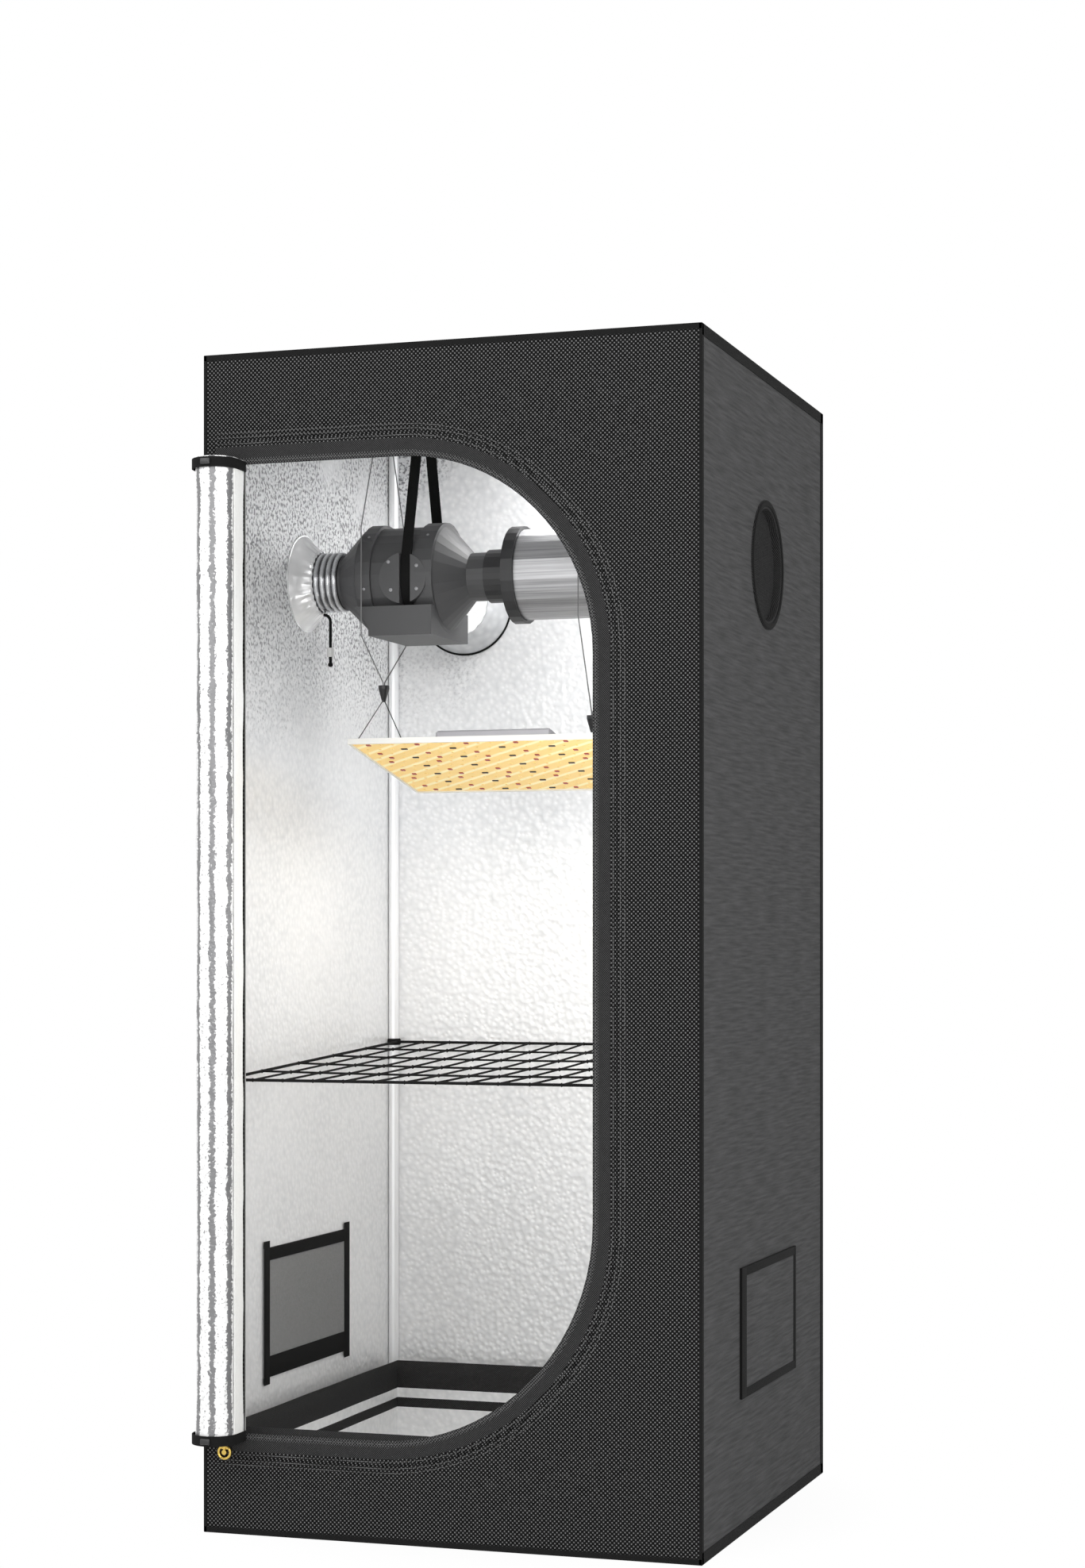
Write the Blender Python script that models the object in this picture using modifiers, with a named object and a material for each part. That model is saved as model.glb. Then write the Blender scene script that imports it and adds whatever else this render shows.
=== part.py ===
"""Indoor grow tent with its steel frame, cloth cover and hung equipment, in metres, +Z up.

The origin is the middle of the tent's footprint on the floor. The door side faces -Y, the duct port
is in the -X wall. Each object is one real piece.
"""

import math

import bmesh
import bpy
from mathutils import Matrix, Vector

TENT = "grow_tent"
CUTTERS = "grow_tent_cutters"

# Tent, outside
WIDTH = 0.700
DEPTH = 0.700
HEIGHT = 1.600
LEFT = -WIDTH / 2
RIGHT = WIDTH / 2
CLOTH = 0.002  # cloth with its lining
GAP = 0.0003  # between pieces that touch
OVERRUN = 0.004  # how far a cutter runs past what it cuts
MERGE = 0.00001

# Steel frame
POLE_RADIUS = 0.008
POLE_WALL = 0.001
POLE_SIDES = 12
CORNER_LEG = 0.045  # from the corner point to the shoulder
CORNER_SPIGOT = 0.030  # the thin end that goes into a pole
BRANCH_STEP = 0.0004  # the side legs are this much thinner than the post
POLE_JOINT_Z = 0.820  # where an upright's two lengths meet
POLE_JOINT_WIDTH = 0.001
POLE_JOINT_DEPTH = 0.0004
HOOK_WALL = 0.003
HOOK_WIDTH = 0.022
HOOK_FROM = math.radians(45)
HOOK_TO = math.radians(250)
HOOK_STEPS = 14
VENT_HOLE_RADIUS = 0.002
VENT_HOLE_IN = 0.060  # from the bar's end

# Door opening in the front panel
DOOR_LEFT = LEFT + 0.060
DOOR_RIGHT = RIGHT - 0.1465
DOOR_BOTTOM = 0.137
DOOR_TOP = HEIGHT - 0.150
DOOR_TOP_RADIUS = 0.270
DOOR_BOTTOM_RADIUS = 0.300
ARC_STEPS = 12

# Zip band round the opening, and its slider
BAND_WIDTH = 0.032
BAND_THICK = 0.0015
BAND_LEFT_END = LEFT + 0.018
SLIDER_X = LEFT + 0.0323
SLIDER_Z = DOOR_BOTTOM - 0.026
PULL_RING = 0.0085  # to the middle of the ring's wire
PULL_WIRE = 0.002
PULL_SIDES = 20
PULL_BOSS = 0.0035
PULL_BOSS_HALF = 0.0024
PULL_BAR = 0.003
SLIDER_BODY = (0.010, 0.003, 0.009)

# Rolled door
ROLL_RADIUS = 0.0298
ROLL_X = LEFT + 0.0323
ROLL_BOTTOM = DOOR_BOTTOM - 0.007
ROLL_TOP = DOOR_TOP + 0.004
ROLL_FOLDS = 6
ROLL_FOLD_SHARE = 0.05
ROLL_LEVEL_SHARES = (0.0, 0.004, 0.02, 0.10, 0.25, 0.40, 0.55, 0.70, 0.85, 0.975, 0.995, 1.0)
ROLL_SIZE_SHARES = (0.93, 0.985, 0.99, 1.0, 0.985, 1.0, 0.98, 1.0, 0.985, 0.99, 0.985, 0.93)
ROLL_STEPS = 24
SEAM_X = LEFT + 0.0603
SEAM_RADIUS = 0.0015
STRAP_THICK = 0.002
ROLL_STRAP_HEIGHT = 0.014
TOP_STRAP_Z = ROLL_TOP - 0.0155
BOTTOM_STRAP_Z = ROLL_BOTTOM - 0.002

# Ports and their sleeves
PORT_Z = HEIGHT - 0.270
DUCT_PORT_RADIUS = 0.0675
RIGHT_PORT_RADIUS = 0.0803
BACK_PORT_RADIUS = 0.0735
BACK_PORT_X = LEFT + 0.128
PORT_STEPS = 32
SLEEVE_CLOTH = 0.0014
SLEEVE_LAP = 0.010  # of a sleeve on its wall
DUCT_SLEEVE_REACH = 0.029
DUCT_SLEEVE_CUFF = 0.004
RIGHT_SLEEVE_REACH = 0.056
RIGHT_SLEEVE_MOUTH = 0.014
RIGHT_SLEEVE_CUFF = 0.008
BACK_SLEEVE_REACH = 0.048
BACK_SLEEVE_MOUTH = 0.052

# Sleeve drawcord and its lock
CORD_RADIUS = 0.00225
CORD_BEND = 0.0102  # to the middle of the cord, where it turns down
CORD_BEND_STEPS = 4
CORD_BOTTOM_Z = PORT_Z - 0.123
CORD_KNOT_RADIUS = 0.0036
CORD_KNOT_HEIGHT = 0.006
CORD_POINT_STEP = 0.006
LOCK_RADIUS = 0.0052
LOCK_HEIGHT = 0.013
LOCK_Z = PORT_Z - 0.102

# Vents low in the side walls
VENT_FRONT = -0.154
VENT_BACK = 0.162
VENT_BOTTOM = 0.185
VENT_TOP = 0.362
VENT_LAP = 0.016  # of flap and screen on the wall
SCREEN_THICK = 0.0016
SCREEN_PROUD = 0.004  # how much wider the screen is than the flap

# Floor tray
TRAY_HEIGHT = 0.143
TRAY_WALL = 0.0015

# Fan line, along X through the ports
OUTLET_SPIGOT_LEFT = LEFT + 0.050
OUTLET_LEFT = LEFT + 0.071
BARREL_LEFT = LEFT + 0.109
BARREL_RIGHT = LEFT + 0.228
INLET_NECK_LEFT = LEFT + 0.265
INLET_NECK_RIGHT = LEFT + 0.320
SPIGOT_RADIUS = 0.0395
BARREL_RADIUS = 0.075
NECK_RADIUS = 0.035
FAN_WALL = 0.0025
RING_RADIUS = 0.080
LEFT_RING = (LEFT + 0.115, LEFT + 0.134)
RIGHT_RING = (LEFT + 0.202, BARREL_RIGHT)
FAN_STEPS = 28
MOTOR_RADIUS = 0.030
MOTOR_LEFT = LEFT + 0.135
MOTOR_RIGHT = LEFT + 0.193
SHAFT_RADIUS = 0.003
SHAFT_RIGHT = LEFT + 0.216
VANE_COUNT = 5
VANE_THICK = 0.002
VANE_LEFT = LEFT + 0.141
VANE_RIGHT = LEFT + 0.184
VANE_BITE = 0.001  # of a vane in the barrel's wall
COVER_X = LEFT + 0.1844
COVER_Z = PORT_Z - 0.007
COVER_RADIUS = 0.036
COVER_OUT = 0.0045
IMPELLER_RADIUS = 0.069
IMPELLER_HUB = 0.027
IMPELLER_LEFT = LEFT + 0.196
IMPELLER_RIGHT = LEFT + 0.218
BLADE_COUNT = 7
BLADE_THICK = 0.002
BLADE_TILT = math.radians(38)
BLADE_LENGTH = 0.020
BLADE_ROOT = 0.003  # of a blade in the hub
BRACKET_X = (LEFT + 0.111, LEFT + 0.228)
BRACKET_HALF_DEPTH = 0.078
BRACKET_TOP = PORT_Z - 0.046
BRACKET_FLOOR = 0.008
BRACKET_TAPER = 0.021
BRACKET_FOOT = 0.013
STRAP_WIDTH = 0.016
FAN_STRAP_X = LEFT + 0.188
FILTER_STRAP_X = RIGHT - 0.115

# Duct between the fan and the port
DUCT_LEFT = LEFT + 0.001
DUCT_RIGHT = LEFT + 0.0674
DUCT_RIB_RADIUS = 0.044
DUCT_VALLEY_RADIUS = 0.0413
DUCT_RIBS = 7
DUCT_STEPS = FAN_STEPS

# Carbon filter
COUPLER_LEFT = LEFT + 0.2915
COUPLER_RIGHT = LEFT + 0.3285
COUPLER_RADIUS = 0.0385
FLANGE_RIGHT = LEFT + 0.346
FLANGE_RADIUS = 0.070
FILTER_RIGHT = RIGHT - 0.080
FILTER_RADIUS = 0.065
FILTER_CAP_RADIUS = 0.067
FILTER_CAP_WIDTH = 0.012
FILTER_CORE = 0.030
FILTER_END = 0.008

# Light panel, tilted about X with its back edge lower
LIGHT_X = -0.035
LIGHT_Y = -0.010
LIGHT_Z = HEIGHT - 0.544
LIGHT_TILT = math.radians(11.3)
LIGHT_WIDTH = 0.372
LIGHT_DEPTH = 0.2856
PLATE_THICK = 0.004
PLATE_RIM = 0.003
PLATE_RIM_DROP = 0.002
BOARD_THICK = 0.0016
DRIVER_SIZE = (0.175, 0.064, 0.040)
DRIVER_SHIFT = -0.010  # from the panel's middle
DRIVER_EDGE = 0.003

# Ropes from the bar and hangers on the light
ROPE_RADIUS = 0.0009
ROPE_SPLIT_Z = HEIGHT - 0.203  # where the strands reach their full spread
ROPE_JOIN_SPLIT = 0.003  # of each strand from the middle, at the lock
ROPE_JOIN_RISE = 0.004  # straight out of the lock
LEFT_ROPE_X = LEFT + 0.1255
LEFT_ROPE_SPREAD = 0.0895
LEFT_ROPE_LOW_Z = HEIGHT - 0.358
LEFT_TIP_Z = HEIGHT - 0.447
RIGHT_ROPE_X = 0.094
RIGHT_ROPE_SPREAD = 0.0672
RIGHT_ROPE_LOW_Z = HEIGHT - 0.338
RIGHT_TIP_Z = HEIGHT - 0.498
LOCK_CONE_RADIUS = 0.008
LOCK_CONE_TIP = 0.0025
LOCK_CONE_HEIGHT = 0.024
LOCK_CONE_BAND = 0.005
HANG_WIRE_RADIUS = 0.0008
HANG_POINT_IN = 0.011  # from the panel's edges
HANG_TIE = 0.004  # of the wires inside the cone

# Trellis net on the four uprights
NET_FRONT_Z = 0.615
NET_BACK_Z = 0.645
NET_CORD = 0.0035
NET_ACROSS = 15
NET_DEEP = 5
NET_HOOK_WALL = 0.003
NET_HOOK_HEIGHT = 0.010
NET_HOOK_HALF_ANGLE = math.radians(86)
NET_HOOK_STEPS = 8

# Places that follow from the sizes above
POLE_X = WIDTH / 2 - CLOTH - GAP - POLE_RADIUS
POLE_Y = DEPTH / 2 - CLOTH - GAP - POLE_RADIUS
LOW_RAIL_Z = CLOTH + GAP + POLE_RADIUS
HIGH_RAIL_Z = HEIGHT - CLOTH - GAP - HOOK_WALL - GAP - POLE_RADIUS
WALL_BOTTOM = CLOTH + GAP
WALL_TOP = HEIGHT - CLOTH - GAP
SIDE_HALF_DEPTH = DEPTH / 2 - CLOTH - GAP
FRONT_Y = -DEPTH / 2
BAND_FRONT_Y = FRONT_Y - GAP - BAND_THICK
STRAP_GROW = GAP + STRAP_THICK
ROLL_Y = BAND_FRONT_Y - GAP - STRAP_GROW - ROLL_RADIUS
SEAM_Y = BAND_FRONT_Y - GAP - STRAP_GROW - SEAM_RADIUS
BORE_RADIUS = BARREL_RADIUS - FAN_WALL

# Turns that stand a flat outline or a turned piece in its plane
FACE_FRONT = (math.pi / 2, 0, 0)  # outline in X and Z, thickness along Y
FACE_SIDE = (math.pi / 2, 0, math.pi / 2)  # outline in Y and Z, thickness along X
ALONG_X = (0, math.pi / 2, 0)
ALONG_Y = (-math.pi / 2, 0, 0)
UPRIGHT = (0, 0, 0)


def clear_scene():
    for thing in list(bpy.data.objects):
        bpy.data.objects.remove(thing, do_unlink=True)


def new_collection(name):
    made = bpy.data.collections.new(name)
    bpy.context.scene.collection.children.link(made)
    return made


def new_look(name, colour, roughness, metallic=0.0):
    look = bpy.data.materials.new(name)
    look.use_nodes = True
    shader = look.node_tree.nodes["Principled BSDF"]
    shader.inputs["Base Color"].default_value = (*colour, 1.0)
    shader.inputs["Roughness"].default_value = roughness
    shader.inputs["Metallic"].default_value = metallic
    return look


def add_object(name, data, look, spot=(0, 0, 0), turn=UPRIGHT):
    made = bpy.data.objects.new(name, data)
    made.location = spot
    made.rotation_euler = turn
    data.materials.append(look)
    bpy.data.collections[TENT].objects.link(made)
    return made


def as_cutter(thing):
    """Moves an object that only shapes another one to the cutters' collection."""
    bpy.data.collections[TENT].objects.unlink(thing)
    bpy.data.collections[CUTTERS].objects.link(thing)
    thing.hide_render = True
    thing.display_type = "WIRE"


def combine(target, tools, operation, solver="EXACT"):
    for tool in tools:
        as_cutter(tool)
        step = target.modifiers.new(f"{operation.lower()}_{tool.name}", "BOOLEAN")
        step.operation = operation
        step.object = tool
        step.solver = solver
    return target


def join(target, *tools):
    return combine(target, tools, "UNION")


def cut(target, *tools):
    return combine(target, tools, "DIFFERENCE")


def block(name, low, high, look):
    """A box between two corners."""
    low, high = Vector(low), Vector(high)
    shape = bmesh.new()
    bmesh.ops.create_cube(shape, size=1)
    bmesh.ops.scale(shape, vec=high - low, verts=shape.verts)
    mesh = bpy.data.meshes.new(name)
    shape.to_mesh(mesh)
    shape.free()
    return add_object(name, mesh, look, (low + high) / 2)


def turned(name, profile, steps, look, spot, turn=UPRIGHT, closed=True):
    """A turned piece. The profile holds (radius, height) points, outer side first, top to bottom."""
    mesh = bpy.data.meshes.new(name)
    corners = [(radius, 0, height) for radius, height in profile]
    edges = [(i, i + 1) for i in range(len(corners) - 1)]
    if closed:
        edges.append((len(corners) - 1, 0))
    mesh.from_pydata(corners, edges, [])
    made = add_object(name, mesh, look, spot, turn)
    screw = made.modifiers.new("turn", "SCREW")
    screw.steps = steps
    screw.render_steps = steps
    screw.use_merge_vertices = True
    screw.merge_threshold = MERGE
    return made


def ring(inner, outer, low, high):
    """The profile of a plain tube."""
    return [(outer, high), (outer, low), (inner, low), (inner, high)]


def rod(radius, low, high):
    """The profile of a plain rod, for an open turned profile."""
    return [(0, high), (radius, high), (radius, low), (0, low)]


def flat(name, outlines, thickness, look, spot=(0, 0, 0), turn=UPRIGHT):
    """A flat piece from its outline and the outlines of its holes."""
    curve = bpy.data.curves.new(name, "CURVE")
    curve.dimensions = "2D"
    curve.fill_mode = "BOTH"
    curve.extrude = thickness / 2
    for outline in outlines:
        spline = curve.splines.new("POLY")
        spline.points.add(len(outline) - 1)
        for point, (across, along) in zip(spline.points, outline):
            point.co = (across, along, 0, 1)
        spline.use_cyclic_u = True
    return add_object(name, curve, look, spot, turn)


def wire(name, points, radius, look, resolution):
    """A round wire or cord along a list of points."""
    curve = bpy.data.curves.new(name, "CURVE")
    curve.dimensions = "3D"
    curve.fill_mode = "FULL"
    curve.bevel_depth = radius
    curve.bevel_resolution = resolution
    curve.use_fill_caps = True
    spline = curve.splines.new("POLY")
    spline.points.add(len(points) - 1)
    for point, place in zip(spline.points, points):
        point.co = (*place, 1)
    return add_object(name, curve, look)


def as_mesh(thing):
    """A curve object made a mesh object of the same name and place, ready to be cut or joined."""
    name, look, matrix = thing.name, thing.data.materials[0], thing.matrix_basis.copy()
    view = bpy.context.evaluated_depsgraph_get()
    mesh = bpy.data.meshes.new_from_object(thing.evaluated_get(view))
    bpy.data.objects.remove(thing, do_unlink=True)
    shape = bmesh.new()
    shape.from_mesh(mesh)
    bmesh.ops.remove_doubles(shape, verts=shape.verts, dist=MERGE)
    bmesh.ops.recalc_face_normals(shape, faces=shape.faces)
    shape.to_mesh(mesh)
    shape.free()
    mesh.materials.clear()
    made = add_object(name, mesh, look)
    made.matrix_basis = matrix
    return made


def arc(centre, radius, start, end, steps):
    """Points along an arc, both ends included."""
    turn = (end - start) / steps
    return [
        (
            centre[0] + radius * math.cos(start + turn * i),
            centre[1] + radius * math.sin(start + turn * i),
        )
        for i in range(steps + 1)
    ]


def circle(centre, radius, steps):
    return arc(centre, radius, 0, 2 * math.pi, steps)[:-1]


def rectangle(left, bottom, right, top):
    return [(left, bottom), (right, bottom), (right, top), (left, top)]


def belt(big, big_radius, small, small_radius, steps):
    """The outline of a band drawn tight round two circles, starting on the big one."""
    across, along = small[0] - big[0], small[1] - big[1]
    heading = math.atan2(along, across)
    lean = math.acos((big_radius - small_radius) / math.hypot(across, along))
    outline = arc(big, big_radius, heading + lean, heading + 2 * math.pi - lean, steps)
    return outline + arc(small, small_radius, heading - lean, heading + lean, steps // 3)


def door_path(grow):
    """The opening's top, right and bottom edges, moved outwards, from its left end at the top."""
    top_centre = (DOOR_RIGHT - DOOR_TOP_RADIUS, DOOR_TOP - DOOR_TOP_RADIUS)
    bottom_centre = (DOOR_RIGHT - DOOR_BOTTOM_RADIUS, DOOR_BOTTOM + DOOR_BOTTOM_RADIUS)
    upper = arc(top_centre, DOOR_TOP_RADIUS + grow, math.pi / 2, 0, ARC_STEPS)
    lower = arc(bottom_centre, DOOR_BOTTOM_RADIUS + grow, 0, -math.pi / 2, ARC_STEPS)
    return upper + lower


def corner_piece(name, side, front, low, look):
    """A welded three-way connector whose thin ends go into the poles."""
    spigot = POLE_RADIUS - POLE_WALL - GAP
    spot = (side * POLE_X, front * POLE_Y, LOW_RAIL_Z if low else HIGH_RAIL_Z)
    tip = CORNER_LEG + CORNER_SPIGOT
    post = [(0, tip), (spigot, tip), (spigot, CORNER_LEG)]
    post += [(POLE_RADIUS, CORNER_LEG), (POLE_RADIUS, -POLE_RADIUS), (0, -POLE_RADIUS)]
    thin = POLE_RADIUS - BRANCH_STEP
    leg = [(0, tip), (spigot, tip), (spigot, CORNER_LEG), (thin, CORNER_LEG), (thin, 0), (0, 0)]
    made = turned(name, post, POLE_SIDES, look, spot, UPRIGHT if low else (math.pi, 0, 0), False)
    along_x = turned(
        name + "_leg_x", leg, POLE_SIDES, look, spot, (0, -side * math.pi / 2, 0), False
    )
    along_y = turned(
        name + "_leg_y", leg, POLE_SIDES, look, spot, (front * math.pi / 2, 0, 0), False
    )
    join(made, along_x, along_y)


def upright(name, side, front, look):
    """Two lengths of pole pushed together, with a fine groove where they meet."""
    low = LOW_RAIL_Z + CORNER_LEG + GAP
    high = HIGH_RAIL_Z - CORNER_LEG - GAP
    top, bottom = POLE_JOINT_Z + POLE_JOINT_WIDTH / 2, POLE_JOINT_Z - POLE_JOINT_WIDTH / 2
    neck, inner = POLE_RADIUS - POLE_JOINT_DEPTH, POLE_RADIUS - POLE_WALL
    profile = [(POLE_RADIUS, high), (POLE_RADIUS, top), (neck, top), (neck, bottom)]
    profile += [(POLE_RADIUS, bottom), (POLE_RADIUS, low), (inner, low), (inner, high)]
    turned(name, profile, POLE_SIDES, look, (side * POLE_X, front * POLE_Y, 0))


def rail(name, spot, turn, half_length, look):
    profile = ring(POLE_RADIUS - POLE_WALL, POLE_RADIUS, -half_length, half_length)
    turned(name, profile, POLE_SIDES, look, spot, turn)


def frame(steel):
    for height, low in (("bottom", True), ("top", False)):
        z = LOW_RAIL_Z if low else HIGH_RAIL_Z
        for face, front in (("front", -1), ("back", 1)):
            for hand, side in (("left", -1), ("right", 1)):
                corner_piece(f"corner_{height}_{face}_{hand}", side, front, low, steel)
            half = POLE_X - CORNER_LEG - GAP
            rail(f"rail_{height}_{face}", (0, front * POLE_Y, z), ALONG_X, half, steel)
        for hand, side in (("left", -1), ("right", 1)):
            half = POLE_Y - CORNER_LEG - GAP
            rail(f"rail_{height}_{hand}", (side * POLE_X, 0, z), ALONG_Y, half, steel)
    for face, front in (("front", -1), ("back", 1)):
        for hand, side in (("left", -1), ("right", 1)):
            upright(f"upright_{face}_{hand}", side, front, steel)


def bar_hook(name, side, look):
    """A saddle that drops over a side rail, open on the side of the wall."""
    inner, outer = POLE_RADIUS + GAP, POLE_RADIUS + GAP + HOOK_WALL
    outline = arc((0, 0), outer, HOOK_FROM, HOOK_TO, HOOK_STEPS)
    outline += reversed(arc((0, 0), inner, HOOK_FROM, HOOK_TO, HOOK_STEPS))
    outline = [(side * across, along) for across, along in outline]
    spot = (side * POLE_X, 0, HIGH_RAIL_Z)
    return as_mesh(flat(name, [outline], HOOK_WIDTH, look, spot, FACE_FRONT))


def hanging_bar(steel):
    half = POLE_X - POLE_RADIUS - GAP - HOOK_WALL / 2
    profile = ring(POLE_RADIUS - POLE_WALL, POLE_RADIUS, -half, half)
    bar = turned("hanging_bar", profile, POLE_SIDES, steel, (0, 0, HIGH_RAIL_Z), ALONG_X)
    join(bar, bar_hook("bar_hook_left", -1, steel), bar_hook("bar_hook_right", 1, steel))
    hole_spot = (VENT_HOLE_IN - half, 0, HIGH_RAIL_Z - POLE_RADIUS)
    hole = rod(VENT_HOLE_RADIUS, -OVERRUN, OVERRUN)
    cut(bar, turned("bar_vent_hole", hole, POLE_SIDES, steel, hole_spot, UPRIGHT, False))


def vent_hole():
    return rectangle(
        VENT_FRONT + VENT_LAP, VENT_BOTTOM + VENT_LAP, VENT_BACK - VENT_LAP, VENT_TOP - VENT_LAP
    )


def cover_panels(outer):
    """The six panels of the sewn cover, each one cloth thick."""
    face = rectangle(-WIDTH / 2, WALL_BOTTOM, WIDTH / 2, WALL_TOP)
    side = rectangle(-SIDE_HALF_DEPTH, WALL_BOTTOM, SIDE_HALF_DEPTH, WALL_TOP)
    door = [(DOOR_LEFT, DOOR_BOTTOM), (DOOR_LEFT, DOOR_TOP)] + door_path(0)
    middle_y, middle_x = DEPTH / 2 - CLOTH / 2, WIDTH / 2 - CLOTH / 2
    flat("front_panel", [face, door], CLOTH, outer, (0, -middle_y, 0), FACE_FRONT)
    back_port = circle((BACK_PORT_X, PORT_Z), BACK_PORT_RADIUS, PORT_STEPS)
    flat("back_panel", [face, back_port], CLOTH, outer, (0, middle_y, 0), FACE_FRONT)
    for name, hand, radius in (
        ("left_panel", -1, DUCT_PORT_RADIUS),
        ("right_panel", 1, RIGHT_PORT_RADIUS),
    ):
        holes = [circle((0, PORT_Z), radius, PORT_STEPS), vent_hole()]
        flat(name, [side] + holes, CLOTH, outer, (hand * middle_x, 0, 0), FACE_SIDE)
    half = (WIDTH / 2, DEPTH / 2)
    block("floor_panel", (-half[0], -half[1], 0), (*half, CLOTH), outer)
    block("roof_panel", (-half[0], -half[1], HEIGHT - CLOTH), (*half, HEIGHT), outer)


def floor_tray(silver):
    """A loose waterproof tray, an open box inside the frame's feet."""
    half_x, half_y = POLE_X - POLE_RADIUS - GAP, POLE_Y - POLE_RADIUS - GAP
    tray = block("floor_tray", (-half_x, -half_y, WALL_BOTTOM), (half_x, half_y, TRAY_HEIGHT), silver)
    shape = bmesh.new()
    shape.from_mesh(tray.data)
    lid = max(shape.faces, key=lambda side: side.calc_center_median().z)
    bmesh.ops.delete(shape, geom=[lid], context="FACES_ONLY")
    shape.to_mesh(tray.data)
    shape.free()
    wall = tray.modifiers.new("wall", "SOLIDIFY")
    wall.thickness = TRAY_WALL
    wall.offset = -1
    wall.use_even_offset = True


def zip_band(band):
    """The flap of cloth that covers the zip, round three sides of the opening."""
    outer, inner = door_path(BAND_WIDTH), door_path(0)
    outline = [(BAND_LEFT_END, DOOR_TOP + BAND_WIDTH)] + outer
    outline += [(BAND_LEFT_END, DOOR_BOTTOM - BAND_WIDTH), (BAND_LEFT_END, DOOR_BOTTOM)]
    outline += list(reversed(inner)) + [(BAND_LEFT_END, DOOR_TOP)]
    spot = (0, FRONT_Y - GAP - BAND_THICK / 2, 0)
    flat("zip_band", [outline], BAND_THICK, band, spot, FACE_FRONT)


def zip_slider(brass):
    """The zip's slider with its round pull lying flat on the band."""
    back = BAND_FRONT_Y - GAP
    bpy.ops.mesh.primitive_torus_add(
        major_radius=PULL_RING,
        minor_radius=PULL_WIRE,
        major_segments=PULL_SIDES,
        minor_segments=8,
    )
    pull = bpy.context.active_object
    mesh = pull.data
    bpy.data.objects.remove(pull, do_unlink=True)
    mesh.materials.clear()
    plane = back - SLIDER_BODY[1]
    centre = (SLIDER_X, plane, SLIDER_Z)
    slider = add_object("zip_slider", mesh, brass, centre, FACE_FRONT)
    boss = rod(PULL_BOSS, -PULL_BOSS_HALF, PULL_BOSS_HALF)
    boss = turned("pull_boss", boss, POLE_SIDES, brass, centre, FACE_FRONT, False)
    half = PULL_BAR / 2
    bar = block(
        "pull_bar",
        (SLIDER_X - half, plane - half, SLIDER_Z),
        (SLIDER_X + half, plane + half, SLIDER_Z + PULL_RING),
        brass,
    )
    middle, width, height = SLIDER_Z + PULL_RING, SLIDER_BODY[0], SLIDER_BODY[2]
    body = block(
        "slider_body",
        (SLIDER_X - width / 2, plane, middle - height / 2),
        (SLIDER_X + width / 2, back, middle + height / 2),
        brass,
    )
    join(slider, boss, bar, body)


def roll_outline(grow, steps):
    """The rolled door's outline seen from above, drawn in where its cloth returns to the seam."""
    return belt(
        (ROLL_X, ROLL_Y), ROLL_RADIUS + grow, (SEAM_X, SEAM_Y), SEAM_RADIUS + grow, steps
    )


def door_roll(lining):
    """The door rolled up, with shallow lengthwise folds, drawn in a little between its straps."""
    shape = bmesh.new()
    middle = Vector((ROLL_X, ROLL_Y, 0))
    arms = []
    for across, along in roll_outline(0, ROLL_STEPS):
        arm = Vector((across, along, 0)) - middle
        fold = math.cos(ROLL_FOLDS * math.atan2(arm.y, arm.x))
        on_roll = arm.length < ROLL_RADIUS + MERGE
        arms.append(arm * (1 - ROLL_FOLD_SHARE * (1 + fold) / 2) if on_roll else arm)
    levels = []
    for level, size in zip(ROLL_LEVEL_SHARES, ROLL_SIZE_SHARES):
        height = Vector((0, 0, ROLL_BOTTOM + (ROLL_TOP - ROLL_BOTTOM) * level))
        levels.append([shape.verts.new(middle + height + arm * size) for arm in arms])
    for lower, upper in zip(levels, levels[1:]):
        for i in range(len(arms)):
            j = (i + 1) % len(arms)
            shape.faces.new((lower[i], lower[j], upper[j], upper[i]))
    shape.faces.new(list(reversed(levels[0])))
    shape.faces.new(levels[-1])
    mesh = bpy.data.meshes.new("door_roll")
    shape.to_mesh(mesh)
    shape.free()
    add_object("door_roll", mesh, lining)


def roll_straps(web):
    for name, bottom in (("roll_strap_top", TOP_STRAP_Z), ("roll_strap_bottom", BOTTOM_STRAP_Z)):
        outlines = [roll_outline(STRAP_GROW, ROLL_STEPS), roll_outline(GAP, ROLL_STEPS)]
        middle = bottom + ROLL_STRAP_HEIGHT / 2
        flat(name, outlines, ROLL_STRAP_HEIGHT, web, (0, 0, middle))


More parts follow.
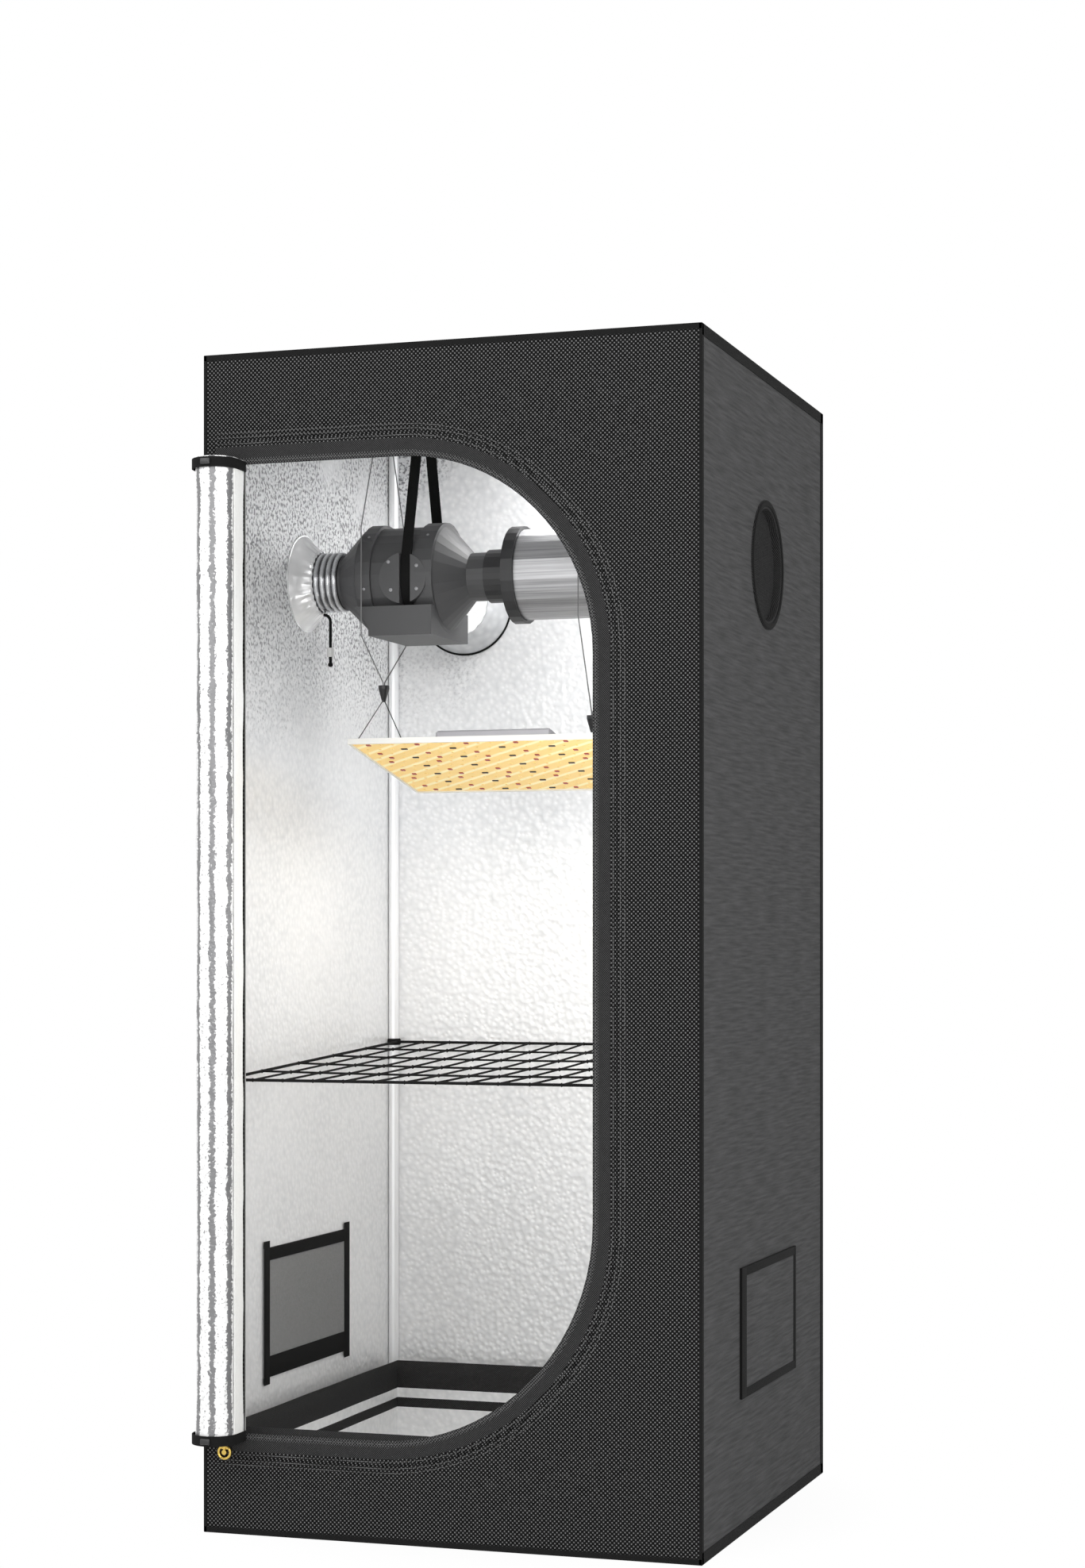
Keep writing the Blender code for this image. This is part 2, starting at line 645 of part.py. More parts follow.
def port_sleeves(outer, lining):
    """Cloth sleeves on the round ports: one on the duct, one gathered shut and one open."""
    inside_left = (-WIDTH / 2 + CLOTH, 0, PORT_Z)
    cuff = DUCT_RIB_RADIUS + GAP + SLEEVE_CLOTH
    start = DUCT_SLEEVE_REACH - DUCT_SLEEVE_CUFF
    profile = [(cuff, DUCT_SLEEVE_REACH), (cuff, start)]
    profile += [(DUCT_PORT_RADIUS + SLEEVE_CLOTH, GAP + SLEEVE_CLOTH)]
    profile += [(DUCT_PORT_RADIUS + SLEEVE_LAP, GAP + SLEEVE_CLOTH)]
    profile += [(DUCT_PORT_RADIUS + SLEEVE_LAP, GAP), (DUCT_PORT_RADIUS, GAP)]
    profile += [(cuff - SLEEVE_CLOTH, start), (cuff - SLEEVE_CLOTH, DUCT_SLEEVE_REACH)]
    turned("left_port_sleeve", profile, PORT_STEPS, lining, inside_left, ALONG_X)

    outside_right = (WIDTH / 2, 0, PORT_Z)
    skirt, mouth = RIGHT_PORT_RADIUS - GAP, RIGHT_SLEEVE_MOUTH
    neck = RIGHT_SLEEVE_REACH - RIGHT_SLEEVE_CUFF
    shoulder = CLOTH + RIGHT_SLEEVE_CUFF
    profile = [(0, SLEEVE_CLOTH - neck), (skirt - SLEEVE_CLOTH, SLEEVE_CLOTH - shoulder)]
    profile += [(skirt - SLEEVE_CLOTH, GAP + SLEEVE_CLOTH)]
    profile += [(RIGHT_PORT_RADIUS + SLEEVE_LAP, GAP + SLEEVE_CLOTH)]
    profile += [(RIGHT_PORT_RADIUS + SLEEVE_LAP, GAP), (skirt, GAP), (skirt, -shoulder)]
    profile += [(mouth, -neck), (mouth, -RIGHT_SLEEVE_REACH), (0, -RIGHT_SLEEVE_REACH)]
    turned("right_port_sleeve", profile, PORT_STEPS, outer, outside_right, ALONG_X, False)

    inside_back = (BACK_PORT_X, DEPTH / 2 - CLOTH, PORT_Z)
    mouth, reach = BACK_SLEEVE_MOUTH, BACK_SLEEVE_REACH
    profile = [(mouth + SLEEVE_CLOTH, reach)]
    profile += [(BACK_PORT_RADIUS + SLEEVE_CLOTH, GAP + SLEEVE_CLOTH)]
    profile += [(BACK_PORT_RADIUS + SLEEVE_LAP, GAP + SLEEVE_CLOTH)]
    profile += [(BACK_PORT_RADIUS + SLEEVE_LAP, GAP), (BACK_PORT_RADIUS, GAP), (mouth, reach)]
    turned("back_port_sleeve", profile, PORT_STEPS, lining, inside_back, FACE_FRONT)


def sleeve_drawcord(cord, pale):
    """The loose end of the duct sleeve's drawcord, with a knot, and the lock that slides on it."""
    knot_top = CORD_BOTTOM_Z + CORD_KNOT_HEIGHT
    exit_x = DUCT_SLEEVE_REACH + CLOTH + GAP - WIDTH / 2
    exit_z = PORT_Z - DUCT_RIB_RADIUS - GAP - CORD_RADIUS
    bend = (exit_x, exit_z - CORD_BEND)
    points = arc(bend, CORD_BEND, math.pi / 2, 0, CORD_BEND_STEPS)
    steps = round((bend[1] - knot_top) / CORD_POINT_STEP)
    fall = (bend[1] - CORD_BOTTOM_Z) / steps
    cord_x = points[-1][0]
    points += [(cord_x, bend[1] - fall * (i + 1)) for i in range(steps)]
    points = [(x, 0, z) for x, z in points]
    tail = as_mesh(wire("sleeve_drawcord", points, CORD_RADIUS, cord, 2))
    waist = CORD_KNOT_HEIGHT / 2
    bulge = [(0, knot_top), (CORD_RADIUS, knot_top), (CORD_KNOT_RADIUS, knot_top - waist / 2)]
    bulge += [(CORD_KNOT_RADIUS, CORD_BOTTOM_Z + waist / 2), (CORD_RADIUS, CORD_BOTTOM_Z - GAP)]
    bulge += [(0, CORD_BOTTOM_Z - GAP)]
    join(tail, turned("drawcord_knot", bulge, POLE_SIDES, cord, (cord_x, 0, 0), UPRIGHT, False))
    body = ring(CORD_RADIUS + GAP, LOCK_RADIUS, -LOCK_HEIGHT / 2, LOCK_HEIGHT / 2)
    turned("drawcord_lock", body, POLE_SIDES, pale, (cord_x, 0, LOCK_Z))


def vents(outer, mesh_look):
    """On each side wall a flap outside and a screen inside, over the same hole."""
    for hand, side in (("left", -1), ("right", 1)):
        near, far = side * (WIDTH / 2 + GAP), side * (WIDTH / 2 + GAP + CLOTH)
        low = (min(near, far), VENT_FRONT, VENT_BOTTOM)
        high = (max(near, far), VENT_BACK, VENT_TOP)
        block(f"{hand}_vent_flap", low, high, outer)
        near = side * (WIDTH / 2 - CLOTH - GAP)
        far = near - side * SCREEN_THICK
        low = (min(near, far), VENT_FRONT - SCREEN_PROUD, VENT_BOTTOM - SCREEN_PROUD)
        high = (max(near, far), VENT_BACK + SCREEN_PROUD, VENT_TOP + SCREEN_PROUD)
        block(f"{hand}_vent_screen", low, high, mesh_look)


def fan_cones(plastic):
    """The two cones that bring the fan's barrel down to its outlet and its inlet."""
    spot = (0, 0, PORT_Z)
    left_end = BARREL_LEFT - GAP
    profile = [(BARREL_RADIUS, left_end), (SPIGOT_RADIUS, OUTLET_LEFT)]
    profile += [(SPIGOT_RADIUS, OUTLET_SPIGOT_LEFT), (SPIGOT_RADIUS - FAN_WALL, OUTLET_SPIGOT_LEFT)]
    profile += [(SPIGOT_RADIUS - FAN_WALL, OUTLET_LEFT), (BORE_RADIUS, left_end)]
    turned("fan_outlet_cone", profile, FAN_STEPS, plastic, spot, ALONG_X)
    right_end = BARREL_RIGHT + GAP
    profile = [(NECK_RADIUS, INLET_NECK_RIGHT), (NECK_RADIUS, INLET_NECK_LEFT)]
    profile += [(BARREL_RADIUS, right_end), (BORE_RADIUS, right_end)]
    profile += [(NECK_RADIUS - FAN_WALL, INLET_NECK_LEFT), (NECK_RADIUS - FAN_WALL, INLET_NECK_RIGHT)]
    turned("fan_inlet_cone", profile, FAN_STEPS, plastic, spot, ALONG_X)


def fan_body(plastic):
    """The fan's barrel with its two raised rings, terminal cover, guide vanes and motor housing."""
    spot = (0, 0, PORT_Z)
    profile = [(0, BARREL_RIGHT), (RING_RADIUS, BARREL_RIGHT), (RING_RADIUS, RIGHT_RING[0])]
    profile += [(BARREL_RADIUS, RIGHT_RING[0]), (BARREL_RADIUS, LEFT_RING[1])]
    profile += [(RING_RADIUS, LEFT_RING[1]), (RING_RADIUS, LEFT_RING[0])]
    profile += [(BARREL_RADIUS, LEFT_RING[0]), (BARREL_RADIUS, BARREL_LEFT), (0, BARREL_LEFT)]
    barrel = turned("fan_body", profile, FAN_STEPS, plastic, spot, ALONG_X, False)
    face = rod(COVER_RADIUS, BARREL_RADIUS / 2, BARREL_RADIUS + COVER_OUT)
    middle = (COVER_X, 0, COVER_Z)
    cover = turned("terminal_cover", face, FAN_STEPS, plastic, middle, FACE_FRONT, False)
    half = STRAP_WIDTH / 2 + GAP
    slot = block(
        "strap_slot",
        (FAN_STRAP_X - half, -BARREL_RADIUS - COVER_OUT - OVERRUN, COVER_Z - 2 * COVER_RADIUS),
        (FAN_STRAP_X + half, 0, COVER_Z + 2 * COVER_RADIUS),
        plastic,
    )
    cut(cover, slot)
    join(barrel, cover)
    bore = rod(BORE_RADIUS, BARREL_LEFT - OVERRUN, BARREL_RIGHT + OVERRUN)
    cut(barrel, turned("fan_bore", bore, FAN_STEPS, plastic, spot, ALONG_X, False))
    motor = [(0, SHAFT_RIGHT), (SHAFT_RADIUS, SHAFT_RIGHT), (SHAFT_RADIUS, MOTOR_RIGHT)]
    motor += [(MOTOR_RADIUS, MOTOR_RIGHT), (MOTOR_RADIUS, MOTOR_LEFT), (0, MOTOR_LEFT)]
    core = turned("fan_motor", motor, FAN_STEPS, plastic, spot, ALONG_X, False)
    vanes = []
    for i in range(VANE_COUNT):
        vane = block(
            f"fan_vane_{i}",
            (VANE_LEFT, -VANE_THICK / 2, MOTOR_RADIUS / 2),
            (VANE_RIGHT, VANE_THICK / 2, BORE_RADIUS + VANE_BITE),
            plastic,
        )
        turn = Matrix.Rotation(2 * math.pi * i / VANE_COUNT, 4, "X")
        vane.matrix_basis = Matrix.Translation(spot) @ turn @ vane.matrix_basis
        vanes.append(vane)
    join(barrel, core, *vanes)


def fan_impeller(plastic):
    """Seven tilted blades on a hub that runs on the motor's shaft."""
    spot = (0, 0, PORT_Z)
    hub = ring(SHAFT_RADIUS + GAP, IMPELLER_HUB, IMPELLER_LEFT, IMPELLER_RIGHT)
    impeller = turned("fan_impeller", hub, FAN_STEPS, plastic, spot, ALONG_X)
    middle = (IMPELLER_LEFT + IMPELLER_RIGHT) / 2
    blades = []
    for i in range(BLADE_COUNT):
        blade = block(
            f"fan_blade_{i}",
            (-BLADE_LENGTH / 2, -BLADE_THICK / 2, IMPELLER_HUB - BLADE_ROOT),
            (BLADE_LENGTH / 2, BLADE_THICK / 2, IMPELLER_RADIUS),
            plastic,
        )
        tilt = Matrix.Rotation(BLADE_TILT, 4, "Z")
        turn = Matrix.Rotation(2 * math.pi * i / BLADE_COUNT, 4, "X")
        place = Matrix.Translation((middle, 0, PORT_Z))
        blade.matrix_basis = place @ turn @ tilt @ blade.matrix_basis
        blades.append(blade)
    join(impeller, *blades)


def fan_bracket(plastic):
    """The foot under the fan, hollowed to the raised rings that it carries."""
    bottom = PORT_Z - RING_RADIUS - GAP - BRACKET_FLOOR
    left, right = BRACKET_X
    outline = [(left, BRACKET_TOP), (left + BRACKET_TAPER, bottom + BRACKET_FOOT)]
    outline += [(left + BRACKET_TAPER, bottom), (right, bottom), (right, BRACKET_TOP)]
    bracket = as_mesh(
        flat("fan_bracket", [outline], 2 * BRACKET_HALF_DEPTH, plastic, (0, 0, 0), FACE_FRONT)
    )
    cradle = rod(RING_RADIUS + GAP, BRACKET_X[0] - OVERRUN, BRACKET_X[1] + OVERRUN)
    spot = (0, 0, PORT_Z)
    cut(bracket, turned("fan_cradle", cradle, FAN_STEPS, plastic, spot, ALONG_X, False))


def hanging_straps(web):
    """Web straps over the bar, one round the fan and one round the filter."""
    bar, line = (0, HIGH_RAIL_Z), (0, PORT_Z)
    for name, x, radius in (
        ("fan_strap", FAN_STRAP_X, BARREL_RADIUS),
        ("filter_strap", FILTER_STRAP_X, FILTER_RADIUS),
    ):
        inner = belt(line, radius + GAP, bar, POLE_RADIUS + GAP, FAN_STEPS)
        outer = belt(line, radius + STRAP_GROW, bar, POLE_RADIUS + STRAP_GROW, FAN_STEPS)
        flat(name, [outer, inner], STRAP_WIDTH, web, (x, 0, 0), FACE_SIDE)


def outlet_duct(foil):
    """Ribbed foil duct from the fan's outlet through the port."""
    pitch = (DUCT_RIGHT - DUCT_LEFT) / DUCT_RIBS
    bore = SPIGOT_RADIUS + GAP
    profile = [(DUCT_VALLEY_RADIUS, DUCT_RIGHT)]
    for i in range(DUCT_RIBS):
        crest = DUCT_RIGHT - pitch * (i + 1 / 2)
        profile += [(DUCT_RIB_RADIUS, crest), (DUCT_VALLEY_RADIUS, crest - pitch / 2)]
    profile += [(bore, DUCT_LEFT), (bore, DUCT_RIGHT)]
    turned("outlet_duct", profile, DUCT_STEPS, foil, (0, 0, PORT_Z), ALONG_X)


def carbon_filter(plastic, metal):
    """The filter's flange, pushed on the fan's inlet, and its cartridge round a hollow core."""
    spot = (0, 0, PORT_Z)
    socket = NECK_RADIUS + GAP
    profile = [(FLANGE_RADIUS, FLANGE_RIGHT), (FLANGE_RADIUS, COUPLER_RIGHT)]
    profile += [(COUPLER_RADIUS, COUPLER_RIGHT), (COUPLER_RADIUS, COUPLER_LEFT)]
    profile += [(socket, COUPLER_LEFT), (socket, INLET_NECK_RIGHT + GAP)]
    profile += [(FILTER_CORE, INLET_NECK_RIGHT + GAP), (FILTER_CORE, FLANGE_RIGHT)]
    turned("filter_flange", profile, FAN_STEPS, plastic, spot, ALONG_X)
    start, shoulder = FLANGE_RIGHT + GAP, FILTER_RIGHT - FILTER_CAP_WIDTH
    end = FILTER_RIGHT - FILTER_END
    profile = [(0, FILTER_RIGHT), (FILTER_CAP_RADIUS, FILTER_RIGHT), (FILTER_CAP_RADIUS, shoulder)]
    profile += [(FILTER_RADIUS, shoulder), (FILTER_RADIUS, start), (FILTER_CORE, start)]
    profile += [(FILTER_CORE, end), (0, end)]
    turned("filter_cartridge", profile, FAN_STEPS, metal, spot, ALONG_X, False)


def light_matrix():
    """From the light panel's own frame, with its origin in the board's face, to the tent's."""
    return Matrix.Translation((LIGHT_X, LIGHT_Y, LIGHT_Z)) @ Matrix.Rotation(-LIGHT_TILT, 4, "X")


def light(white, board_look, grey):
    """The light's plate with its rim, the board of diodes inside the rim, and the driver on top."""
    half_x, half_y = LIGHT_WIDTH / 2, LIGHT_DEPTH / 2
    plate_top = BOARD_THICK + GAP + PLATE_THICK
    pocket_top = BOARD_THICK + GAP
    low_edge = -PLATE_RIM_DROP
    plate = block("light_plate", (-half_x, -half_y, low_edge), (half_x, half_y, plate_top), white)
    in_x, in_y = half_x - PLATE_RIM, half_y - PLATE_RIM
    pocket = block(
        "light_pocket", (-in_x, -in_y, low_edge - OVERRUN), (in_x, in_y, pocket_top), white
    )
    cut(plate, pocket)
    in_x, in_y = in_x - GAP, in_y - GAP
    board = block("light_board", (-in_x, -in_y, 0), (in_x, in_y, BOARD_THICK), board_look)
    width, depth, height = DRIVER_SIZE
    bottom = plate_top + GAP
    driver = block(
        "light_driver",
        (DRIVER_SHIFT - width / 2, -depth / 2, bottom),
        (DRIVER_SHIFT + width / 2, depth / 2, bottom + height),
        grey,
    )
    edge = driver.modifiers.new("edge", "BEVEL")
    edge.width = DRIVER_EDGE
    edge.segments = 1
    for piece in (plate, pocket, board, driver):
        piece.matrix_basis = light_matrix() @ piece.matrix_basis


def rope_points(x, spread, low_z, join_z):
    """From the rope's join up in front of the fan line, over the bar, and down behind it."""
    over = arc((0, HIGH_RAIL_Z), POLE_RADIUS + GAP + ROPE_RADIUS, math.pi, 0, 6)
    end = join_z + GAP
    front = [(-ROPE_JOIN_SPLIT, end), (-ROPE_JOIN_SPLIT, end + ROPE_JOIN_RISE)]
    front += [(-spread, low_z), (-spread, ROPE_SPLIT_Z)]
    back = [(-along, height) for along, height in reversed(front)]
    return [(x, along, height) for along, height in front + over + back]


def ropes(steel):
    for name, x, spread, low_z, tip in (
        ("left_rope", LEFT_ROPE_X, LEFT_ROPE_SPREAD, LEFT_ROPE_LOW_Z, LEFT_TIP_Z),
        ("right_rope", RIGHT_ROPE_X, RIGHT_ROPE_SPREAD, RIGHT_ROPE_LOW_Z, RIGHT_TIP_Z),
    ):
        points = rope_points(x, spread, low_z, tip + LOCK_CONE_HEIGHT)
        wire(name, points, ROPE_RADIUS, steel, 1)


def light_hangers(plastic):
    """A cone-shaped lock over each side of the light, with two wires down to the panel's corners."""
    reach_x, reach_y = LIGHT_WIDTH / 2 - HANG_POINT_IN, LIGHT_DEPTH / 2 - HANG_POINT_IN
    plate_top = BOARD_THICK + GAP + PLATE_THICK + 2 * HANG_WIRE_RADIUS
    for name, side, x, tip in (
        ("left_light_hanger", -1, LEFT_ROPE_X, LEFT_TIP_Z),
        ("right_light_hanger", 1, RIGHT_ROPE_X, RIGHT_TIP_Z),
    ):
        profile = [(0, LOCK_CONE_HEIGHT), (LOCK_CONE_RADIUS, LOCK_CONE_HEIGHT)]
        profile += [(LOCK_CONE_RADIUS, LOCK_CONE_HEIGHT - LOCK_CONE_BAND), (LOCK_CONE_TIP, 0), (0, 0)]
        cone = turned(name, profile, POLE_SIDES, plastic, (x, 0, tip), UPRIGHT, False)
        start = Vector((x, 0, tip + HANG_TIE))
        wires = []
        for face, front in (("front", -1), ("back", 1)):
            foot = light_matrix() @ Vector((side * reach_x, front * reach_y, plate_top))
            points = [start, start.lerp(foot, 1 / 2), foot]
            wires.append(as_mesh(wire(f"{name}_{face}", points, HANG_WIRE_RADIUS, plastic, 1)))
        join(cone, *wires)


def trellis_net(cord):
    """A flat net of cords with a small hook round each upright."""
    hook_middle = (POLE_RADIUS + GAP + NET_HOOK_WALL / 2) / math.sqrt(2)
    reach_x, reach_y = POLE_X - hook_middle, POLE_Y - hook_middle
    outlines = [rectangle(-reach_x, -reach_y, reach_x, reach_y)]
    step_x = (2 * reach_x - NET_CORD) / NET_ACROSS
    step_y = (2 * reach_y - NET_CORD) / NET_DEEP
    for i in range(NET_ACROSS):
        for j in range(NET_DEEP):
            left, bottom = NET_CORD - reach_x + step_x * i, NET_CORD - reach_y + step_y * j
            outlines.append(
                rectangle(left, bottom, left + step_x - NET_CORD, bottom + step_y - NET_CORD)
            )
    tilt = math.atan2(NET_BACK_Z - NET_FRONT_Z, 2 * reach_y)
    middle_z = (NET_FRONT_Z + NET_BACK_Z) / 2
    net = as_mesh(flat("trellis_net", outlines, NET_CORD, cord, (0, 0, middle_z), (tilt, 0, 0)))
    hooks = []
    for front in (-1, 1):
        for side in (-1, 1):
            heading = math.atan2(-front, -side)
            ends = (heading - NET_HOOK_HALF_ANGLE, heading + NET_HOOK_HALF_ANGLE)
            inner = POLE_RADIUS + GAP
            outline = arc((0, 0), inner + NET_HOOK_WALL, *ends, NET_HOOK_STEPS)
            outline += reversed(arc((0, 0), inner, *ends, NET_HOOK_STEPS))
            height = NET_FRONT_Z if front < 0 else NET_BACK_Z
            spot = (side * POLE_X, front * POLE_Y, height)
            name = f"net_hook_{front}_{side}"
            hooks.append(as_mesh(flat(name, [outline], NET_HOOK_HEIGHT, cord, spot)))
    combine(net, hooks, "UNION", "MANIFOLD")


def shade_round_pieces():
    """Smooth shading on the turned pieces, whose facets would show otherwise."""
    for thing in bpy.data.collections[TENT].objects:
        if any(step.type == "SCREW" for step in thing.modifiers):
            thing.data.shade_smooth()


def build():
    clear_scene()
    new_collection(TENT)
    new_collection(CUTTERS)
    oxford = new_look("black_oxford_cloth", (0.035, 0.035, 0.037), 0.85)
    binding = new_look("black_web", (0.012, 0.012, 0.013), 0.8)
    mylar = new_look("silver_lining", (0.78, 0.79, 0.80), 0.3, 0.6)
    screen = new_look("dark_grey_screen", (0.09, 0.09, 0.095), 0.8)
    steel = new_look("galvanised_steel", (0.72, 0.74, 0.76), 0.35, 0.8)
    brass = new_look("brass", (0.72, 0.52, 0.14), 0.3, 1.0)
    plastic = new_look("dark_grey_plastic", (0.065, 0.065, 0.067), 0.55)
    black = new_look("black_plastic", (0.02, 0.02, 0.021), 0.5)
    foil = new_look("foil_duct", (0.75, 0.76, 0.78), 0.25, 0.9)
    metal = new_look("brushed_filter_metal", (0.55, 0.56, 0.57), 0.35, 0.9)
    white = new_look("white_light_plate", (0.8, 0.79, 0.75), 0.4)
    diodes = new_look("warm_diode_board", (0.95, 0.72, 0.33), 0.5)
    grey = new_look("grey_driver_case", (0.42, 0.41, 0.45), 0.5, 0.3)
    pale = new_look("pale_lock_plastic", (0.7, 0.7, 0.69), 0.5)

    frame(steel)
    hanging_bar(steel)
    cover_panels(oxford)
    floor_tray(mylar)
    zip_band(binding)
    zip_slider(brass)
    door_roll(mylar)
    roll_straps(binding)
    port_sleeves(oxford, mylar)
    sleeve_drawcord(binding, pale)
    vents(oxford, screen)
    fan_cones(plastic)
    fan_body(plastic)
    fan_impeller(black)
    fan_bracket(plastic)
    hanging_straps(binding)
    outlet_duct(foil)
    carbon_filter(black, metal)
    light(white, diodes, grey)
    ropes(black)
    light_hangers(black)
    trellis_net(binding)
    shade_round_pieces()


build()
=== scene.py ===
"""Indoor grow tent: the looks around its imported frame, in metres, +Z up, door side towards -Y."""

import math

import bmesh
import bpy
from mathutils import Matrix, Vector, noise


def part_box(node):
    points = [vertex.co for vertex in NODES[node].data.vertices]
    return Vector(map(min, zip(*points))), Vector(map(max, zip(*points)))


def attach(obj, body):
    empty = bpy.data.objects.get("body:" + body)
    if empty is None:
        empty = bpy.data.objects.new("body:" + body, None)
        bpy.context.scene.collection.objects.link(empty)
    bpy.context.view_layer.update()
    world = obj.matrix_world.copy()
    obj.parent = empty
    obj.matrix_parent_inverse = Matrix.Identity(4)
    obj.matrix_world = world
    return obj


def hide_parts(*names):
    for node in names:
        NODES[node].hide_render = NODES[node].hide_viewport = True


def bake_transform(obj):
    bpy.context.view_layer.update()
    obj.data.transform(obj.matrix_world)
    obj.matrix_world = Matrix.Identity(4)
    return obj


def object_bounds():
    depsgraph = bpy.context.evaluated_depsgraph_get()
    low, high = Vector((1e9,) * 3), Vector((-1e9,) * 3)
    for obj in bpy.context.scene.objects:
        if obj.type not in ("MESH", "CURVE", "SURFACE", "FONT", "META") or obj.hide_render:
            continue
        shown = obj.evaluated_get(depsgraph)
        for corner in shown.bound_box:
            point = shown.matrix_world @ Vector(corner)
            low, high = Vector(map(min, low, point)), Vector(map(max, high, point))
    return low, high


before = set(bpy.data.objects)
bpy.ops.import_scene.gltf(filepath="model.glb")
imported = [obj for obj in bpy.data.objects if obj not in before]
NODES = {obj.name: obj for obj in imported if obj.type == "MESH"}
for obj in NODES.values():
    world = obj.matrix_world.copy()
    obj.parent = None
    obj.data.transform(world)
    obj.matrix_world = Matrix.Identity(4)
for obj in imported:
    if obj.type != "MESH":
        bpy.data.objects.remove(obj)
CAD_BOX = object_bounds()

# Camera, fitted to the photograph's 1367 x 1976 frame
CAMERA_PLACE = (1.34169, -4.02834, 0.80486)
CAMERA_YAW = math.radians(18.1734)
FRAME_HEIGHT = 1976
FOCAL_PIXELS = 3724.34
HORIZON_PIXEL = 1185.23
SENSOR = 36

# Stage
WHITE = (1.0, 1.0, 1.0)
LIT_WHITE = (1.0, 0.98, 0.95)
LAMPS = (  # name, place, target, size, power, colour
    ("key_lamp", (-2.4, -4.2, 3.6), (0, 0, 0.9), 3.0, 95, WHITE),
    ("fill_lamp", (3.8, -2.2, 2.6), (0, 0, 0.8), 3.0, 70, WHITE),
    ("door_lamp", (0.2, -3.4, 1.5), (0, 0, 0.9), 1.6, 30, WHITE),
    ("low_lamp", (-0.035, -0.03, 0.98), (-0.035, 0.02, 0.0), 0.28, 0.80, LIT_WHITE),
    ("high_lamp", (0.06, 0.11, 1.53), (0.02, 0.35, 1.0), 0.20, 1.9, WHITE),
    ("side_lamp", (0.28, -0.25, 0.90), (-0.35, 0.15, 0.97), 0.15, 0.7, WHITE),
)
DAYLIGHT = 0.55
STUDIO_GREY = (0.93, 0.93, 0.93)
STUDIO_REACH = 14
FLOOR_PALENESS, FLOOR_FADE = 0.82, 0.35  # under the tent, where its shadow falls, and the rise per metre

# The frame's sizes, as in the part's source
TENT_HALF = 0.35
CLOTH = 0.002
DOOR_LEFT, DOOR_RIGHT = -0.290, 0.2035
DOOR_BOTTOM, DOOR_TOP = 0.137, 1.450
DOOR_TOP_RADIUS, DOOR_BOTTOM_RADIUS = 0.27, 0.30
ROLL_X, ROLL_Y = -0.3177, -0.3842
ROLL_RADIUS = 0.0298
SEAM_X, SEAM_Y = -0.2897, -0.3559
SEAM_RADIUS = 0.0015
STRAP_THICK = 0.002
STRAP_WIDTH = 0.016
PORT_Z = 1.330
DUCT_PORT_RADIUS = 0.0675
RIGHT_PORT_RADIUS = 0.0803
BACK_PORT_RADIUS = 0.0735
BACK_PORT_X = -0.222
VENT_LOW, VENT_HIGH = (-0.138, 0.201), (0.146, 0.346)
BAR_Z = 1.5864
POLE_RADIUS = 0.008
POLE_PLACE = 0.3397
BARREL_RADIUS, FILTER_RADIUS = 0.075, 0.065
FAN_STRAP_X, FILTER_STRAP_X = -0.162, 0.235
RING_RADIUS = 0.080
RING_MIDDLES = (-0.2255, -0.135)
COVER_FACE = -0.0795
LIGHT_PLACE = (-0.035, -0.010, 1.056)
LIGHT_REACH = (0.183, 0.1395)
LIGHT_TILT = math.radians(11.3)
DRIVER_TOP = 0.0462

# Walls and bindings
GAP = 0.0003
WELD, LATHE_WELD = 0.000001, 0.000005  # points closer than this are one
WALL_SHARP = 50
CLOTH_GRID = 0.035
WALL_BELLY = 0.0022  # how far a slack wall bows
WALL_BOW, WALL_BOW_SCALE = 0.6, 4  # its least share, and how quickly it changes
EDGE_CALM, FIXED_CALM = 0.12, 0.10  # how far from an edge or a fixed piece the bow is whole
DOOR_CALM = (-0.05, 0.0, 0.62)
PORT_CALM, VENT_CALM, FLOOR_CALM = 0.015, 0.20, 0.5
BINDING_THICK = 0.0008
BINDING_CHAMFER = 0.4  # of its thickness
FRONT_BINDING = 0.007
SIDE_BINDING = 0.015
STITCH_PITCH = 0.0055
STITCH_LENGTH = 0.0034
STITCH_HALF = 0.0005
BAND_STEPS = 4
BAND_CROWN, BAND_DROP = 1.5, 0.6  # of the band's thickness
BAND_SEAM_IN = 0.004
BAND_EDGE_SPOT, BAND_SEAM_SPOT = 7, 3  # points of the band's section where its strips meet
ROW_START = 0.004
BAND_ROW_LIFT = 1.25  # of the band's thickness
CLOTH_ROWS = (0.005, 0.011)

# The rolled door, wound from its free edge, and its trim
ROLL_CLOTH = 0.0016
ROLL_PITCH = 0.0056
ROLL_TURNS = 4.8
ROLL_STEPS = 32
ROLL_LEVELS = 150
SEAM_STEPS, HEM_STEPS = 4, 2
ROLL_CRUMPLE = 0.0016
ROLL_PRESSED = 0.55
ROLL_BROAD = (0.7, (38, 38, 7), (0, 0, 0))  # share, scale and shift of each wave of the crumple
ROLL_FINE = (0.5, (80, 80, 45), (0, 0, 7))
ROLL_CREASE = (0.8, (55, 55, 16), (3, 0, 0))
ROLL_INNER_SHARE = 0.3
TIE_CALM = 0.05
TAPE_THICK = 0.0008
PIPING, PIPING_RADIUS = 0.0009, 0.00081
TOGGLE_HALF, TOGGLE_DEEP, TOGGLE_IN, TOGGLE_ROUND = 0.007, 0.004, 0.003, 0.0012

